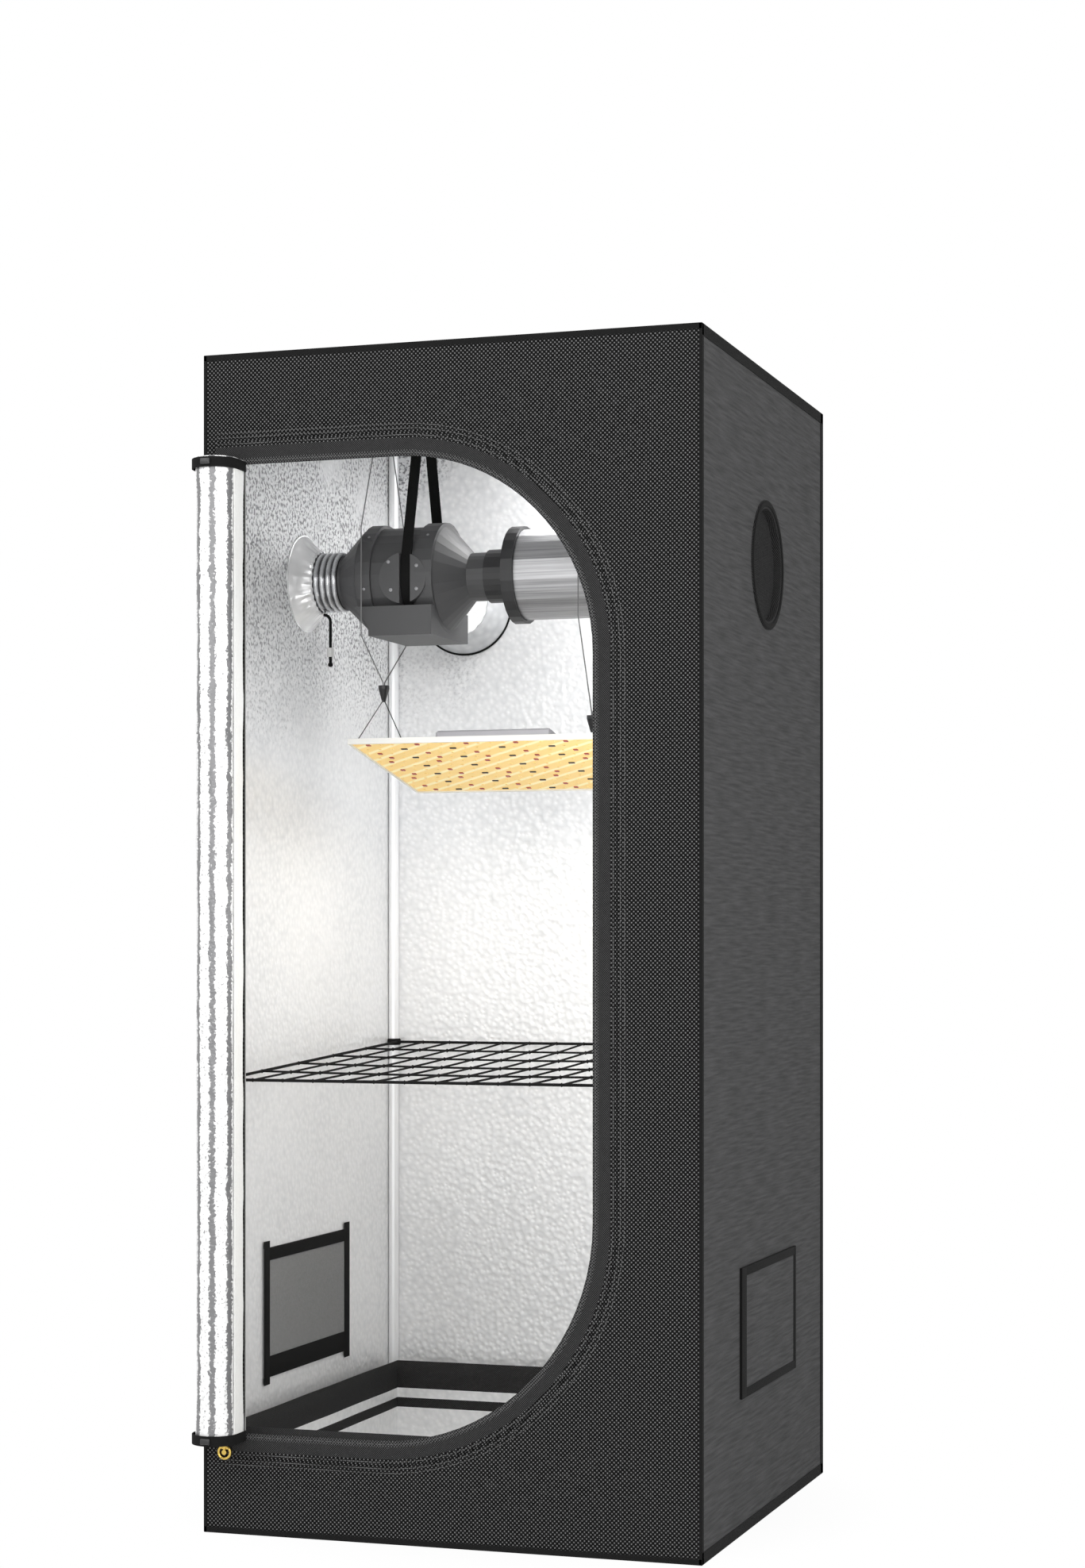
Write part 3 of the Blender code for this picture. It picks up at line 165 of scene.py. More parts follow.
# Ports, their sleeves and the drawcord
SLEEVE_THICK = 0.0014
SLEEVE_LAP, SLEEVE_TURN = 0.010, 0.0015
RIM_LAP, RIM_TURN, RIM_LIFT = 0.004, 0.0014, 0.0002
RIM_INNER = (0.0005, 0.0020)  # wider than the port, and in from the wall
CUFF_RADIUS, CUFF_START, CUFF_END = 0.0450, 0.0250, 0.0290
BACK_MOUTH = (0.0527, 0.0478)
SHUT_RIM = ((-0.0012, GAP), (-0.0014, -0.003), (-0.0016, -0.010))  # from the port's edge
SHUT_NECK = ((0.0150, -0.0460), (0.0133, -0.0500), (0.0120, -0.0545), (0.0030, -0.0552))
DUCT_FOLDS, SHUT_FOLDS, BACK_FOLDS = (26, 0.0032), (30, 0.0026), (20, 0.0012)  # number and depth
GATHER_DRIFT, GATHER_SCALE = 0.3, 60
NEAR_AXIS = 0.001
PORT_BINDING = 0.008
RING_HIGH = 1.6  # of a binding's thickness
RING_SLOPE = 0.0015
SHUT_RING_OUT = 0.001
BACK_RIM_RING, BACK_RIM_RING_OUT = 0.003, 0.0012
CORD_ROUTE = [
    (-0.3187, 0.0, 1.28345),
    (-0.31480, 0.0, 1.28267),
    (-0.31149, 0.0, 1.28046),
    (-0.30928, 0.0, 1.27715),
    (-0.3085, 0.0, 1.27325),
    (-0.3085, 0.0, 1.260),
    (-0.3085, 0.0, 1.247),
    (-0.3085, 0.0, 1.234),
    (-0.3085, 0.0, 1.221),
    (-0.3085, 0.0, 1.207),
]  # as in the part's source
CORD_DIAMETER = 0.0045
KNOT_RADIUS, KNOT_HEIGHT, KNOT_SHOULDER = 0.0036, 0.006, 0.3

# Vents and tray
SCREEN_TAB = 0.010
SCREEN_SIDE, SCREEN_HEAD, SCREEN_FOOT = 0.020, 0.018, 0.030
FLAP_EDGE, FLAP_FRONT = 0.012, 0.026
STRIP_REST, STRIP_PROUD, STRIP_ROUND = 0.0001, 0.0012, 0.0003
PANEL_GRID = 0.012
PANEL_BELLY, PANEL_HELD, PANEL_DRIFT = 0.0005, 0.05, 14
TRAY_BAND = 0.100
# a dark stripe of painted shade low on the tray's sides
TRAY_SHADE_STRIPE = (0.070, 0.085)
TRAY_CUTS = (*TRAY_SHADE_STRIPE, TRAY_BAND, 0.03, 0.122)
TRAY_COLUMNS = 16
TRAY_WALL = 0.0015
TRAY_CORNER, TRAY_SIDE = 0.01, 0.002
TRAY_LEAN, TRAY_LEAN_MOST, TRAY_DRIFT = 0.0016, 0.004, 9

# Fan line, light and net
DUCT_VALLEY, DUCT_BORE, DUCT_RIBS = 0.0413, 0.0398, 7
RIB_STEPS, RIB_ROUND = 8, 0.7
DUCT_DENT, DUCT_DENT_SCALE, DENT_FROM = 0.0004, 140, 0.001
COVER_SCREWS = ((-0.1869, 1.3466), (-0.1832, 1.3064), (-0.1440, 1.3400), (-0.1440, 1.3070))
SCREW_RADIUS, SCREW_HEIGHT, SCREW_STEPS = 0.0026, 0.0012, 16
SCREW_TOP, SCREW_SHOULDER = 0.6, 0.45  # of its radius and of its height
RING_SCREW = 0.8  # of the cover screws' radius
RING_FLAT = 0.994  # of the ring's radius, half way between its corners
DIODE_ROWS, DIODE_COLUMNS = 12, 20
DIODE_SHIFT = 0.0045
DIODE_SIZES = ((0.0034, 0.0034, 0.0010), (0.0060, 0.0060, 0.0012), (0.0090, 0.0036, 0.0014))
DRIVER_SCREWS, DRIVER_SCREW_Y = (-0.090, 0.070), 0.024
ROPE_RADIUS = 0.0009
ROPE_SPLIT_Z = 1.397
ROPE_EYE, ROPE_NECK = 0.003, 0.004
CONE_HEIGHT = 0.024
ROPES = [
    ("left", -0.2245, 0.0895, 1.242, 1.153),
    ("right", 0.094, 0.0672, 1.262, 1.102),
]  # hand, x, spread, height where the strands close, height of the cone's tip
NET_MIDDLE_Z, NET_RISE = 0.630, 0.030
NET_REACH = 0.331
NET_ACROSS, NET_DEEP = 15, 5
NET_SAG = 0.004
NET_CORD, NET_BORDER = 0.0015, 0.0021
NET_KNOT = 0.0030
HOOK_WALL, HOOK_HALF = 0.003, 0.005
HOOK_TURN = math.radians(86)

# Finishes, as linear colours
CLOTH_DARK, CLOTH_LIGHT = (0.002, 0.002, 0.002), (0.260, 0.260, 0.262)
# the side and back walls: the same black cloth painted paler, as painted light
SIDE_DARK, SIDE_LIGHT = (0.068, 0.068, 0.069), (0.148, 0.148, 0.150)
WEAVE_PITCH, WEAVE_SHARP, WEAVE_SOFT = 0.0058, 5.2, 2.2
CLOTH_GLOSS = 0.08
CLOTH_RELIEF, FILM_RELIEF, ROLL_RELIEF = 0.0006, 0.0015, 0.0009
WORN_RELIEF, BRUSHED_RELIEF = 0.0001, 0.0002
RIPPLE_SCALE = (8, 8, 150)
# painted shade along the walls' ripples: where it starts, and its darkest colour
RIPPLE_CUT, RIPPLE_PAINTED_SHADE = (2.6, -0.80), (0.58, 0.58, 0.58)
FILM_PALE, FILM_DEEP = (0.92, 0.92, 0.92), (0.70, 0.71, 0.72)
# dark flecks on the film: partly its speckle, partly painted shade gathered high up and on the side walls
FLECK_PAINTED_SHADE = (0.24, 0.24, 0.25)
FLECK_FINE, FLECK_PATCH = 190, 5
FLECK_RISE, FLECK_ASIDE = (3.0, -3.2), (6.0, -3.10)  # more flecks with height and to the sides
FLECK_GATHER, FLECK_CUT = 4.0, (7.0, -3.3)
# the rolled door's film, and its painted shade in streaks down the roll and in fine dark facets
ROLL_PALE, ROLL_PAINTED_SHADE = (0.90, 0.90, 0.90), (0.20, 0.20, 0.205)
STREAKS, STREAK_START = 7, 3.31  # how many run down the roll, and the first one's angle
STREAK_RAGGED, STREAK_SCALE = 2.4, (60, 60, 55)
FACET_SHADE_CUT, STREAK_CUT, LOOSE_CUT = (7.0, -3.5), (3.2, -1.0), (0.8, -0.45)
FOIL_DEEP, FOIL_PALE = (0.66, 0.67, 0.69), (0.92, 0.93, 0.95)
# painted shade down in the duct's grooves: how far in it deepens, and its colour
GROOVE_DEPTH, GROOVE_PAINTED_SHADE = 0.0028, (0.09, 0.09, 0.095)
BOARD_DEEP, BOARD_PALE = (0.77, 0.54, 0.19), (0.89, 0.84, 0.58)
BOARD_STRIPE, BOARD_TURN, BOARD_GLOW = 0.026, math.radians(-52), 0.40
STRIPE_CUT, STRIPE_SOFT = (0.9, -0.35), 0.2


# Node trees


def add(tree, kind, links=None, **settings):
    """A shader node with its settings, its plain values and its links."""
    made = tree.nodes.new(kind)
    for key, value in settings.items():
        setattr(made, key, value)
    for socket, value in (links or {}).items():
        if isinstance(value, bpy.types.NodeSocket):
            tree.links.new(value, made.inputs[socket])
        else:
            made.inputs[socket].default_value = value
    return made


def calc(tree, operation, *values):
    return add(tree, "ShaderNodeMath", dict(enumerate(values)), operation=operation).outputs[0]


def unit_range(tree, value):
    """A value held between 0 and 1."""
    return calc(tree, "MINIMUM", calc(tree, "MAXIMUM", value, 0.0), 1.0)


def noise_at(tree, place, scale, detail):
    links = {"Vector": place, "Scale": scale, "Detail": detail}
    return add(tree, "ShaderNodeTexNoise", links).outputs[0]


def stretched(tree, place, scale):
    return add(tree, "ShaderNodeMapping", {"Vector": place, "Scale": scale}).outputs[0]


def turned(tree, place, turn):
    return add(tree, "ShaderNodeMapping", {"Vector": place, "Rotation": turn}).outputs[0]


def split(tree, place):
    return add(tree, "ShaderNodeSeparateXYZ", {0: place}).outputs


def tint(colour):
    return (*colour, 1.0)


def colour_between(tree, share, low, high):
    """A colour between two, each a socket or a plain colour."""
    low = low if isinstance(low, bpy.types.NodeSocket) else tint(low)
    high = high if isinstance(high, bpy.types.NodeSocket) else tint(high)
    mix = add(tree, "ShaderNodeMix", {0: share, 6: low, 7: high}, data_type="RGBA")
    return mix.outputs[2]


def new_group(name, inputs, outputs):
    """An empty node group with named sockets, and its input and output nodes."""
    group = bpy.data.node_groups.new(name, "ShaderNodeTree")
    for label, kind, value in inputs:
        socket = group.interface.new_socket(label, in_out="INPUT", socket_type=kind)
        if value is not None:
            socket.default_value = value
    for label, kind in outputs:
        group.interface.new_socket(label, in_out="OUTPUT", socket_type=kind)
    return group, group.nodes.new("NodeGroupInput").outputs, group.nodes.new("NodeGroupOutput").inputs


FLOAT = "NodeSocketFloat"
COLOUR = "NodeSocketColor"
VECTOR = "NodeSocketVector"


def weave_group():
    """Crossed threads seen as a grid of dots. It runs on upright walls facing any way."""
    inputs = [("Place", VECTOR, None), ("Pitch", FLOAT, 0.004), ("Slub", FLOAT, 0.2)]
    inputs += [("Sharp", FLOAT, WEAVE_SOFT), ("Dark", COLOUR, None), ("Light", COLOUR, None)]
    group, given, out = new_group("cloth_weave", inputs, [("Colour", COLOUR), ("Height", FLOAT)])
    spread = split(group, given["Place"])
    turns = calc(group, "DIVIDE", 2 * math.pi, given["Pitch"])
    across = calc(group, "MULTIPLY", calc(group, "ADD", spread[0], spread[1]), turns)
    along = calc(group, "MULTIPLY", spread[2], turns)
    dots = calc(group, "MULTIPLY", calc(group, "SINE", across), calc(group, "SINE", along))
    lift = calc(group, "MULTIPLY_ADD", dots, 0.5, 0.5)
    slub = noise_at(group, given["Place"], 260, 2)
    uneven = calc(group, "MULTIPLY", calc(group, "SUBTRACT", slub, 0.5), given["Slub"])
    share = calc(group, "ADD", calc(group, "POWER", lift, given["Sharp"]), uneven)
    group.links.new(colour_between(group, share, given["Dark"], given["Light"]), out["Colour"])
    group.links.new(lift, out["Height"])
    return group


def pebble_group():
    """The dimples of reflective film."""
    inputs = [("Place", VECTOR, None), ("Scale", FLOAT, 130.0)]
    group, given, out = new_group("film_pebbles", inputs, [("Shade", FLOAT), ("Height", FLOAT)])
    links = {"Vector": given["Place"], "Scale": given["Scale"], "Smoothness": 0.8}
    cells = add(group, "ShaderNodeTexVoronoi", links, feature="SMOOTH_F1").outputs["Distance"]
    group.links.new(cells, out["Height"])
    blend = calc(group, "MULTIPLY", cells, noise_at(group, given["Place"], 3.5, 3))
    group.links.new(calc(group, "MULTIPLY", blend, 1.5), out["Shade"])
    return group


def wear_group():
    """Slow changes of tone and fine scuffs for metal and plastic."""
    inputs = [("Place", VECTOR, None), ("Grain", FLOAT, 400.0)]
    group, given, out = new_group("surface_wear", inputs, [("Tone", FLOAT), ("Height", FLOAT)])
    group.links.new(noise_at(group, given["Place"], 9, 4), out["Tone"])
    group.links.new(noise_at(group, given["Place"], given["Grain"], 2), out["Height"])
    return group


WEAVE = weave_group()
PEBBLES = pebble_group()
WEAR = wear_group()


def start_look(name, roughness, metallic=0.0):
    """A material with its shader and its Object coordinates."""
    look = bpy.data.materials.new(name)
    look.use_nodes = True
    tree = look.node_tree
    shader = tree.nodes["Principled BSDF"]
    shader.inputs["Roughness"].default_value = roughness
    shader.inputs["Metallic"].default_value = metallic
    place = add(tree, "ShaderNodeTexCoord").outputs["Object"]
    return look, tree, shader, place


def use_group(tree, group, **values):
    return add(tree, "ShaderNodeGroup", values, node_tree=group).outputs


def bump(tree, shader, height, distance, strength):
    made = add(tree, "ShaderNodeBump", {"Height": height, "Distance": distance, "Strength": strength})
    tree.links.new(made.outputs[0], shader.inputs["Normal"])


def cloth_look(name, dark, light, pitch, ripple=0.0, lying=False, sharp=WEAVE_SOFT):
    """Coated Oxford cloth. On a slack wall, level ripples in its bump, with painted shade darkening its
    colour along them.
    """
    look, tree, shader, place = start_look(name, 0.82)
    shader.inputs["Specular IOR Level"].default_value = CLOTH_GLOSS
    if lying:
        place = turned(tree, place, (math.pi / 2, 0, 0))
    colours = {"Dark": tint(dark), "Light": tint(light)}
    weave = use_group(tree, WEAVE, Place=place, Pitch=pitch, Sharp=sharp, **colours)
    tree.links.new(weave["Colour"], shader.inputs["Base Color"])
    height = weave["Height"]
    if ripple:
        folds = noise_at(tree, stretched(tree, place, RIPPLE_SCALE), 1.8, 3)
        height = calc(tree, "MULTIPLY_ADD", folds, ripple, height)
        # the ripples darken the colour as painted shade
        share = calc(tree, "MULTIPLY_ADD", folds, *RIPPLE_CUT)
        shaded = colour_between(tree, share, RIPPLE_PAINTED_SHADE, WHITE)
        mixed = add(tree, "ShaderNodeMix", {0: 1.0, 6: weave["Colour"], 7: shaded}, data_type="RGBA")
        mixed.blend_type = "MULTIPLY"
        tree.links.new(mixed.outputs[2], shader.inputs["Base Color"])
    bump(tree, shader, height, CLOTH_RELIEF, 0.7)
    return look


def film_look(name, pale, deep, scale, strength, metallic=0.3, roughness=0.42, flecked=False):
    """Reflective film with dimples. Where flecked, dark flecks gather in patches towards the top and the
    sides: partly a speckle of the film, partly painted shade.
    """
    look, tree, shader, place = start_look(name, roughness, metallic)
    dimples = use_group(tree, PEBBLES, Place=place, Scale=scale)
    colour = colour_between(tree, dimples["Shade"], pale, deep)
    if flecked:
        spread = split(tree, place)
        fine = noise_at(tree, place, FLECK_FINE, 2)
        patch = noise_at(tree, place, FLECK_PATCH, 3)
        rise = calc(tree, "MAXIMUM", calc(tree, "MULTIPLY_ADD", spread[2], *FLECK_RISE), 0.0)
        aside = calc(tree, "MULTIPLY_ADD", calc(tree, "ABSOLUTE", spread[0]), *FLECK_ASIDE)
        gathered = calc(tree, "MULTIPLY_ADD", patch, FLECK_GATHER, aside)
        gathered = unit_range(tree, calc(tree, "MULTIPLY", rise, gathered))
        flecks = calc(tree, "MULTIPLY_ADD", fine, *FLECK_CUT)
        share = unit_range(tree, calc(tree, "MULTIPLY", flecks, gathered))
        colour = colour_between(tree, share, colour, FLECK_PAINTED_SHADE)
    tree.links.new(colour, shader.inputs["Base Color"])
    bump(tree, shader, dimples["Height"], FILM_RELIEF, strength)
    return look


def crinkled_look(name, pale, deep, centre):
    """Film wound on a roll, with painted shade: broken dark streaks down its length at even angles, and fine
    dark facets.
    """
    look, tree, shader, place = start_look(name, 0.34, 0.3)
    spread = split(tree, place)
    across = calc(tree, "SUBTRACT", spread[0], centre[0])
    angle = calc(tree, "ARCTAN2", calc(tree, "SUBTRACT", spread[1], centre[1]), across)
    ragged = noise_at(tree, stretched(tree, place, STREAK_SCALE), 1.6, 5)
    flecks = noise_at(tree, place, 330, 3)
    # painted shade: dark streaks at even angles round the roll, and fine dark facets
    phase = calc(tree, "MULTIPLY_ADD", angle, STREAKS, STREAK_START)
    wave = calc(tree, "SINE", calc(tree, "MULTIPLY_ADD", ragged, STREAK_RAGGED, phase))
    grain = calc(tree, "MULTIPLY_ADD", flecks, *FACET_SHADE_CUT)
    streak = calc(tree, "ADD", calc(tree, "MULTIPLY_ADD", wave, *STREAK_CUT), grain)
    loose = calc(tree, "MULTIPLY_ADD", grain, *LOOSE_CUT)
    share = unit_range(tree, calc(tree, "MAXIMUM", streak, loose))
    tree.links.new(colour_between(tree, share, pale, deep), shader.inputs["Base Color"])
    bump(tree, shader, calc(tree, "ADD", flecks, ragged), ROLL_RELIEF, 0.8)
    return look


def worn_look(name, low, high, roughness, metallic=0.0, grain=400.0):
    """Metal or moulded plastic whose tone drifts a little between two colours."""
    look, tree, shader, place = start_look(name, roughness, metallic)
    wear = use_group(tree, WEAR, Place=place, Grain=grain)
    tree.links.new(colour_between(tree, wear["Tone"], low, high), shader.inputs["Base Color"])
    uneven = calc(tree, "MULTIPLY_ADD", wear["Tone"], 0.16, roughness - 0.08)
    tree.links.new(uneven, shader.inputs["Roughness"])
    bump(tree, shader, wear["Height"], WORN_RELIEF, 0.6)
    return look


def brushed_look(name, low, high, roughness, scale, shade_grooves=False):
    """Metal with fine lines along one direction. Where asked, painted shade darkens it down in the grooves
    between the duct's ribs.
    """
    look, tree, shader, place = start_look(name, roughness, 0.9)
    lines = noise_at(tree, stretched(tree, place, scale), 1.0, 4)
    colour = colour_between(tree, lines, low, high)
    if shade_grooves:
        # painted shade: darker the deeper into a groove between the ribs
        spread = split(tree, place)
        rise = calc(tree, "SUBTRACT", spread[2], PORT_Z)
        square = calc(tree, "MULTIPLY_ADD", rise, rise, calc(tree, "MULTIPLY", spread[1], spread[1]))
        start = (DUCT_VALLEY + GROOVE_DEPTH) / GROOVE_DEPTH
        depth = calc(tree, "MULTIPLY_ADD", calc(tree, "SQRT", square), -1 / GROOVE_DEPTH, start)
        colour = colour_between(tree, unit_range(tree, depth), colour, GROOVE_PAINTED_SHADE)
    tree.links.new(colour, shader.inputs["Base Color"])
    bump(tree, shader, lines, BRUSHED_RELIEF, 0.5)
    return look


def board_look():
    """The lit board: warm, with paler diagonal stripes."""
    look, tree, shader, place = start_look("lit_diode_board", 0.5)
    spread = split(tree, turned(tree, place, (0, 0, BOARD_TURN)))
    wave = calc(tree, "SINE", calc(tree, "MULTIPLY", spread[0], 2 * math.pi / BOARD_STRIPE))
    share = calc(tree, "SMOOTH_MAX", calc(tree, "MULTIPLY_ADD", wave, *STRIPE_CUT), 0.0, STRIPE_SOFT)
    stripes = colour_between(tree, share, BOARD_DEEP, BOARD_PALE)
    tree.links.new(stripes, shader.inputs["Base Color"])
    tree.links.new(stripes, shader.inputs["Emission Color"])
    shader.inputs["Emission Strength"].default_value = BOARD_GLOW
    return look


COVER_WEAVE = {"pitch": WEAVE_PITCH, "sharp": WEAVE_SHARP}
FRONT_CLOTH = cloth_look("front_oxford_cloth", CLOTH_DARK, CLOTH_LIGHT, **COVER_WEAVE)
# painted light: the tent's black cloth made paler for the side and back walls
PAINTED_LIT_SIDE_CLOTH = cloth_look("side_cloth_painted_lit", SIDE_DARK, SIDE_LIGHT, 0.0030, ripple=1.6)
LYING_CLOTH = cloth_look("roof_oxford_cloth", CLOTH_DARK, CLOTH_LIGHT, lying=True, **COVER_WEAVE)
SLEEVE_CLOTH = cloth_look("sleeve_oxford_cloth", CLOTH_DARK, (0.104, 0.104, 0.105), 0.0028)
WEBBING = cloth_look("black_webbing", (0.006, 0.006, 0.006), (0.026, 0.026, 0.026), 0.0016)
BAND_CLOTH = cloth_look("zip_band_cloth", (0.008, 0.008, 0.008), (0.085, 0.085, 0.086), 0.0030)
BAND_EDGE = cloth_look("zip_band_edging", (0.005, 0.005, 0.005), (0.150, 0.150, 0.152), 0.0040)
BAND_SEAM = cloth_look("zip_band_seam", CLOTH_DARK, (0.240, 0.240, 0.242), **COVER_WEAVE)
SCREEN = cloth_look("vent_screen_mesh", (0.09, 0.09, 0.09), (0.66, 0.66, 0.66), 0.0022)
FILM = film_look("pebbled_film", FILM_PALE, FILM_DEEP, 130, 0.7, flecked=True)
CRUMPLED_FILM = film_look("crumpled_film", (0.99, 0.99, 0.99), (0.66, 0.66, 0.67), 62, 1.0, 0.5, 0.26)
SMOOTH_FILM = film_look("sleeve_film", (0.80, 0.81, 0.82), (0.52, 0.53, 0.55), 90, 0.4, 0.5, 0.4)
PALE_TAPE = film_look("smooth_pale_tape", (0.97, 0.97, 0.95), (0.88, 0.88, 0.86), 300, 0.2, 0.0, 0.45)
ROLL_FILM = crinkled_look("rolled_door_film", ROLL_PALE, ROLL_PAINTED_SHADE, (ROLL_X, ROLL_Y))
STEEL = worn_look("galvanised_steel", (0.90, 0.91, 0.92), (0.97, 0.97, 0.98), 0.36, 0.35)
SCREW_STEEL = worn_look("zinc_screws", (0.26, 0.26, 0.27), (0.38, 0.38, 0.39), 0.42, 0.6)
BRASS = worn_look("polished_brass", (0.62, 0.42, 0.08), (0.80, 0.58, 0.17), 0.26, 1.0)
FAN_PLASTIC = worn_look("fan_plastic", (0.052, 0.052, 0.054), (0.076, 0.076, 0.078), 0.5, 0, 900)
BLACK_PLASTIC = worn_look("black_plastic", (0.014, 0.014, 0.015), (0.028, 0.028, 0.029), 0.42, 0, 900)
PALE_PLASTIC = worn_look("pale_plastic", (0.62, 0.62, 0.61), (0.74, 0.74, 0.73), 0.4, 0, 900)
WHITE_PLATE = worn_look("white_coated_plate", (0.76, 0.75, 0.70), (0.84, 0.83, 0.79), 0.38)
DRIVER_CASE = worn_look("grey_coated_case", (0.47, 0.46, 0.485), (0.59, 0.58, 0.61), 0.5, 0.1)
GREY_PIPING = worn_look("grey_piping", (0.26, 0.26, 0.25), (0.38, 0.38, 0.37), 0.6)
THREAD = worn_look("sewing_thread", (0.05, 0.05, 0.05), (0.11, 0.11, 0.11), 0.7)
ROPE_LOOK = worn_look("grey_braided_cord", (0.10, 0.10, 0.10), (0.24, 0.24, 0.24), 0.7, 0, 1500)
PALE_DIODE = worn_look("warm_diode", (0.90, 0.66, 0.22), (0.98, 0.80, 0.36), 0.35, 0, 900)
RED_DIODE = worn_look("deep_red_diode", (0.30, 0.035, 0.020), (0.42, 0.055, 0.030), 0.35, 0, 900)
FILTER_LINES = {"roughness": 0.42, "scale": (5, 420, 420)}
FILTER_METAL = brushed_look("brushed_filter_metal", (0.16, 0.16, 0.165), (0.64, 0.64, 0.65), **FILTER_LINES)
FOIL = brushed_look("duct_foil", FOIL_DEEP, FOIL_PALE, 0.24, (120, 70, 70), shade_grooves=True)
BOARD = board_look()

NODE_LOOKS = {
    STEEL: [n for n in NODES if n.startswith(("corner_", "upright_", "rail_"))] + ["hanging_bar"],
    BRASS: ["zip_slider"],
    FAN_PLASTIC: ["fan_body", "fan_outlet_cone", "fan_inlet_cone", "fan_bracket"],
    BLACK_PLASTIC: ["fan_impeller", "filter_flange", "left_light_hanger", "right_light_hanger"],
    PALE_PLASTIC: ["drawcord_lock"],
    FILTER_METAL: ["filter_cartridge"],
    WHITE_PLATE: ["light_plate"],
    DRIVER_CASE: ["light_driver"],
    BOARD: ["light_board"],
}


def dress_nodes():
    for look, names in NODE_LOOKS.items():
        for name in names:
            for slot in NODES[name].material_slots:
                slot.material = look


# Shapes


def new_shape():
    """A bmesh whose points can carry their number in a cross-section."""
    shape = bmesh.new()
    shape.verts.layers.int.new("spot")
    return shape


def new_object(name, shape, looks=()):
    """An object in the scene, made of a bmesh."""
    mesh = bpy.data.meshes.new(name)
    shape.to_mesh(mesh)
    shape.free()
    for look in looks:
        mesh.materials.append(look)
    made = bpy.data.objects.new(name, mesh)
    bpy.context.scene.collection.objects.link(made)
    return made


def finish_piece(name, shape, looks, slot, body="tent", stands_for=(), sharp=40):
    """The piece made of a bmesh: its faces outwards, smooth up to the sharp angle, on its body."""
    bmesh.ops.recalc_face_normals(shape, faces=shape.faces)
    piece = new_object(name, shape, looks)
    piece.data.shade_smooth()
    piece.data.set_sharp_from_angle(angle=math.radians(sharp))
    if body:
        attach(piece, body)
    if stands_for:
        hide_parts(*stands_for)
    return piece


def axes_at(place, *axes):
    """A matrix with three directions as its X, Y and Z, at a place."""
    made = Matrix(axes).transposed().to_4x4()
    made.translation = place
    return made


def box_between(low, high):
    """The matrix that makes a unit cube the box between two corners."""
    return Matrix.Translation((low + high) / 2) @ Matrix.Diagonal((*(high - low), 1))


def sweep(shape, section, stops, ring=False):
    """Draws a closed cross-section through its stops, matrices from its plane to the tent."""
    spot = shape.verts.layers.int["spot"]
    points = [Vector((across, out, 0)) for across, out in section]
    stops = list(stops) + ([stops[0]] if ring else [])
    first = [shape.verts.new(stops[0] @ point) for point in points]
    for number, vert in enumerate(first):
        vert[spot] = number
    start = [shape.edges.new(pair) for pair in zip(first, first[1:] + first[:1])]
    edges = start
    swept = list(first)
    for stop in stops[1:]:
        made = bmesh.ops.extrude_edge_only(shape, edges=edges)["geom"]
        verts = [item for item in made if isinstance(item, bmesh.types.BMVert)]
        for vert in verts:
            vert.co = stop @ points[vert[spot]]
        fresh = set(verts)
        edges = [
            item
            for item in made
            if isinstance(item, bmesh.types.BMEdge) and all(end in fresh for end in item.verts)
        ]
        swept += verts
    if ring:
        bmesh.ops.remove_doubles(shape, verts=swept, dist=WELD)
    else:
        bmesh.ops.contextual_create(shape, geom=start)
        bmesh.ops.contextual_create(shape, geom=edges)


def draw_up(shape, section, levels):
    """Draws a cross-section straight up through its levels."""
    sweep(shape, section, [Matrix.Translation((0, 0, level)) for level in levels])


def thicken(shape, shift):
    """Gives a sheet its thickness by drawing its faces out."""
    made = bmesh.ops.extrude_face_region(shape, geom=shape.faces[:])["geom"]
    drawn = [item for item in made if isinstance(item, bmesh.types.BMVert)]
    bmesh.ops.translate(shape, vec=shift, verts=drawn)


def stations(path, out, ring=False):
    """A station at each point of a path: X across it, Y out, Z along, with mitred corners."""
    made = []
    count = len(path)
    for i, point in enumerate(path):
        before = path[i - 1] if i or ring else None
        after = path[(i + 1) % count] if i < count - 1 or ring else None
        arrive = (point - before).normalized() if before is not None else None
        leave = (after - point).normalized() if after is not None else None
        arrive = arrive or leave
        leave = leave or arrive
        along = (arrive + leave).normalized()
        across = along.cross(out).normalized()
        lift = across.cross(along).normalized()
        stretch = 1 / max(0.4, abs(across.dot(arrive.cross(out).normalized())))
        made.append(axes_at(point, across * stretch, lift, along))
    return made


def round_section(radius, sides):
    turn = 2 * math.pi / sides
    return [(radius * math.cos(turn * i), radius * math.sin(turn * i)) for i in range(sides)]


def web_section(width, thick):
    """Flat webbing with rounded edges."""
    half, edge = width / 2, thick / 2
    ends = [math.radians(angle) for angle in (-60, -20, 20, 60)]
    right = [(half - edge + edge * math.cos(a), edge + edge * math.sin(a)) for a in ends]
    return right + [(-across, 2 * edge - out) for across, out in right]


def slab(shape, low, high, edge):
    """A box between two corners with rounded edges."""
    place = box_between(Vector(low), Vector(high))
    verts = bmesh.ops.create_cube(shape, size=1, matrix=place)["verts"]
    edges = {item for vert in verts for item in vert.link_edges}
    bmesh.ops.bevel(
        shape,
        geom=list(edges),
        offset=edge,
        offset_type="OFFSET",
        segments=2,
        profile=0.5,
        affect="EDGES",
        material=-1,
    )


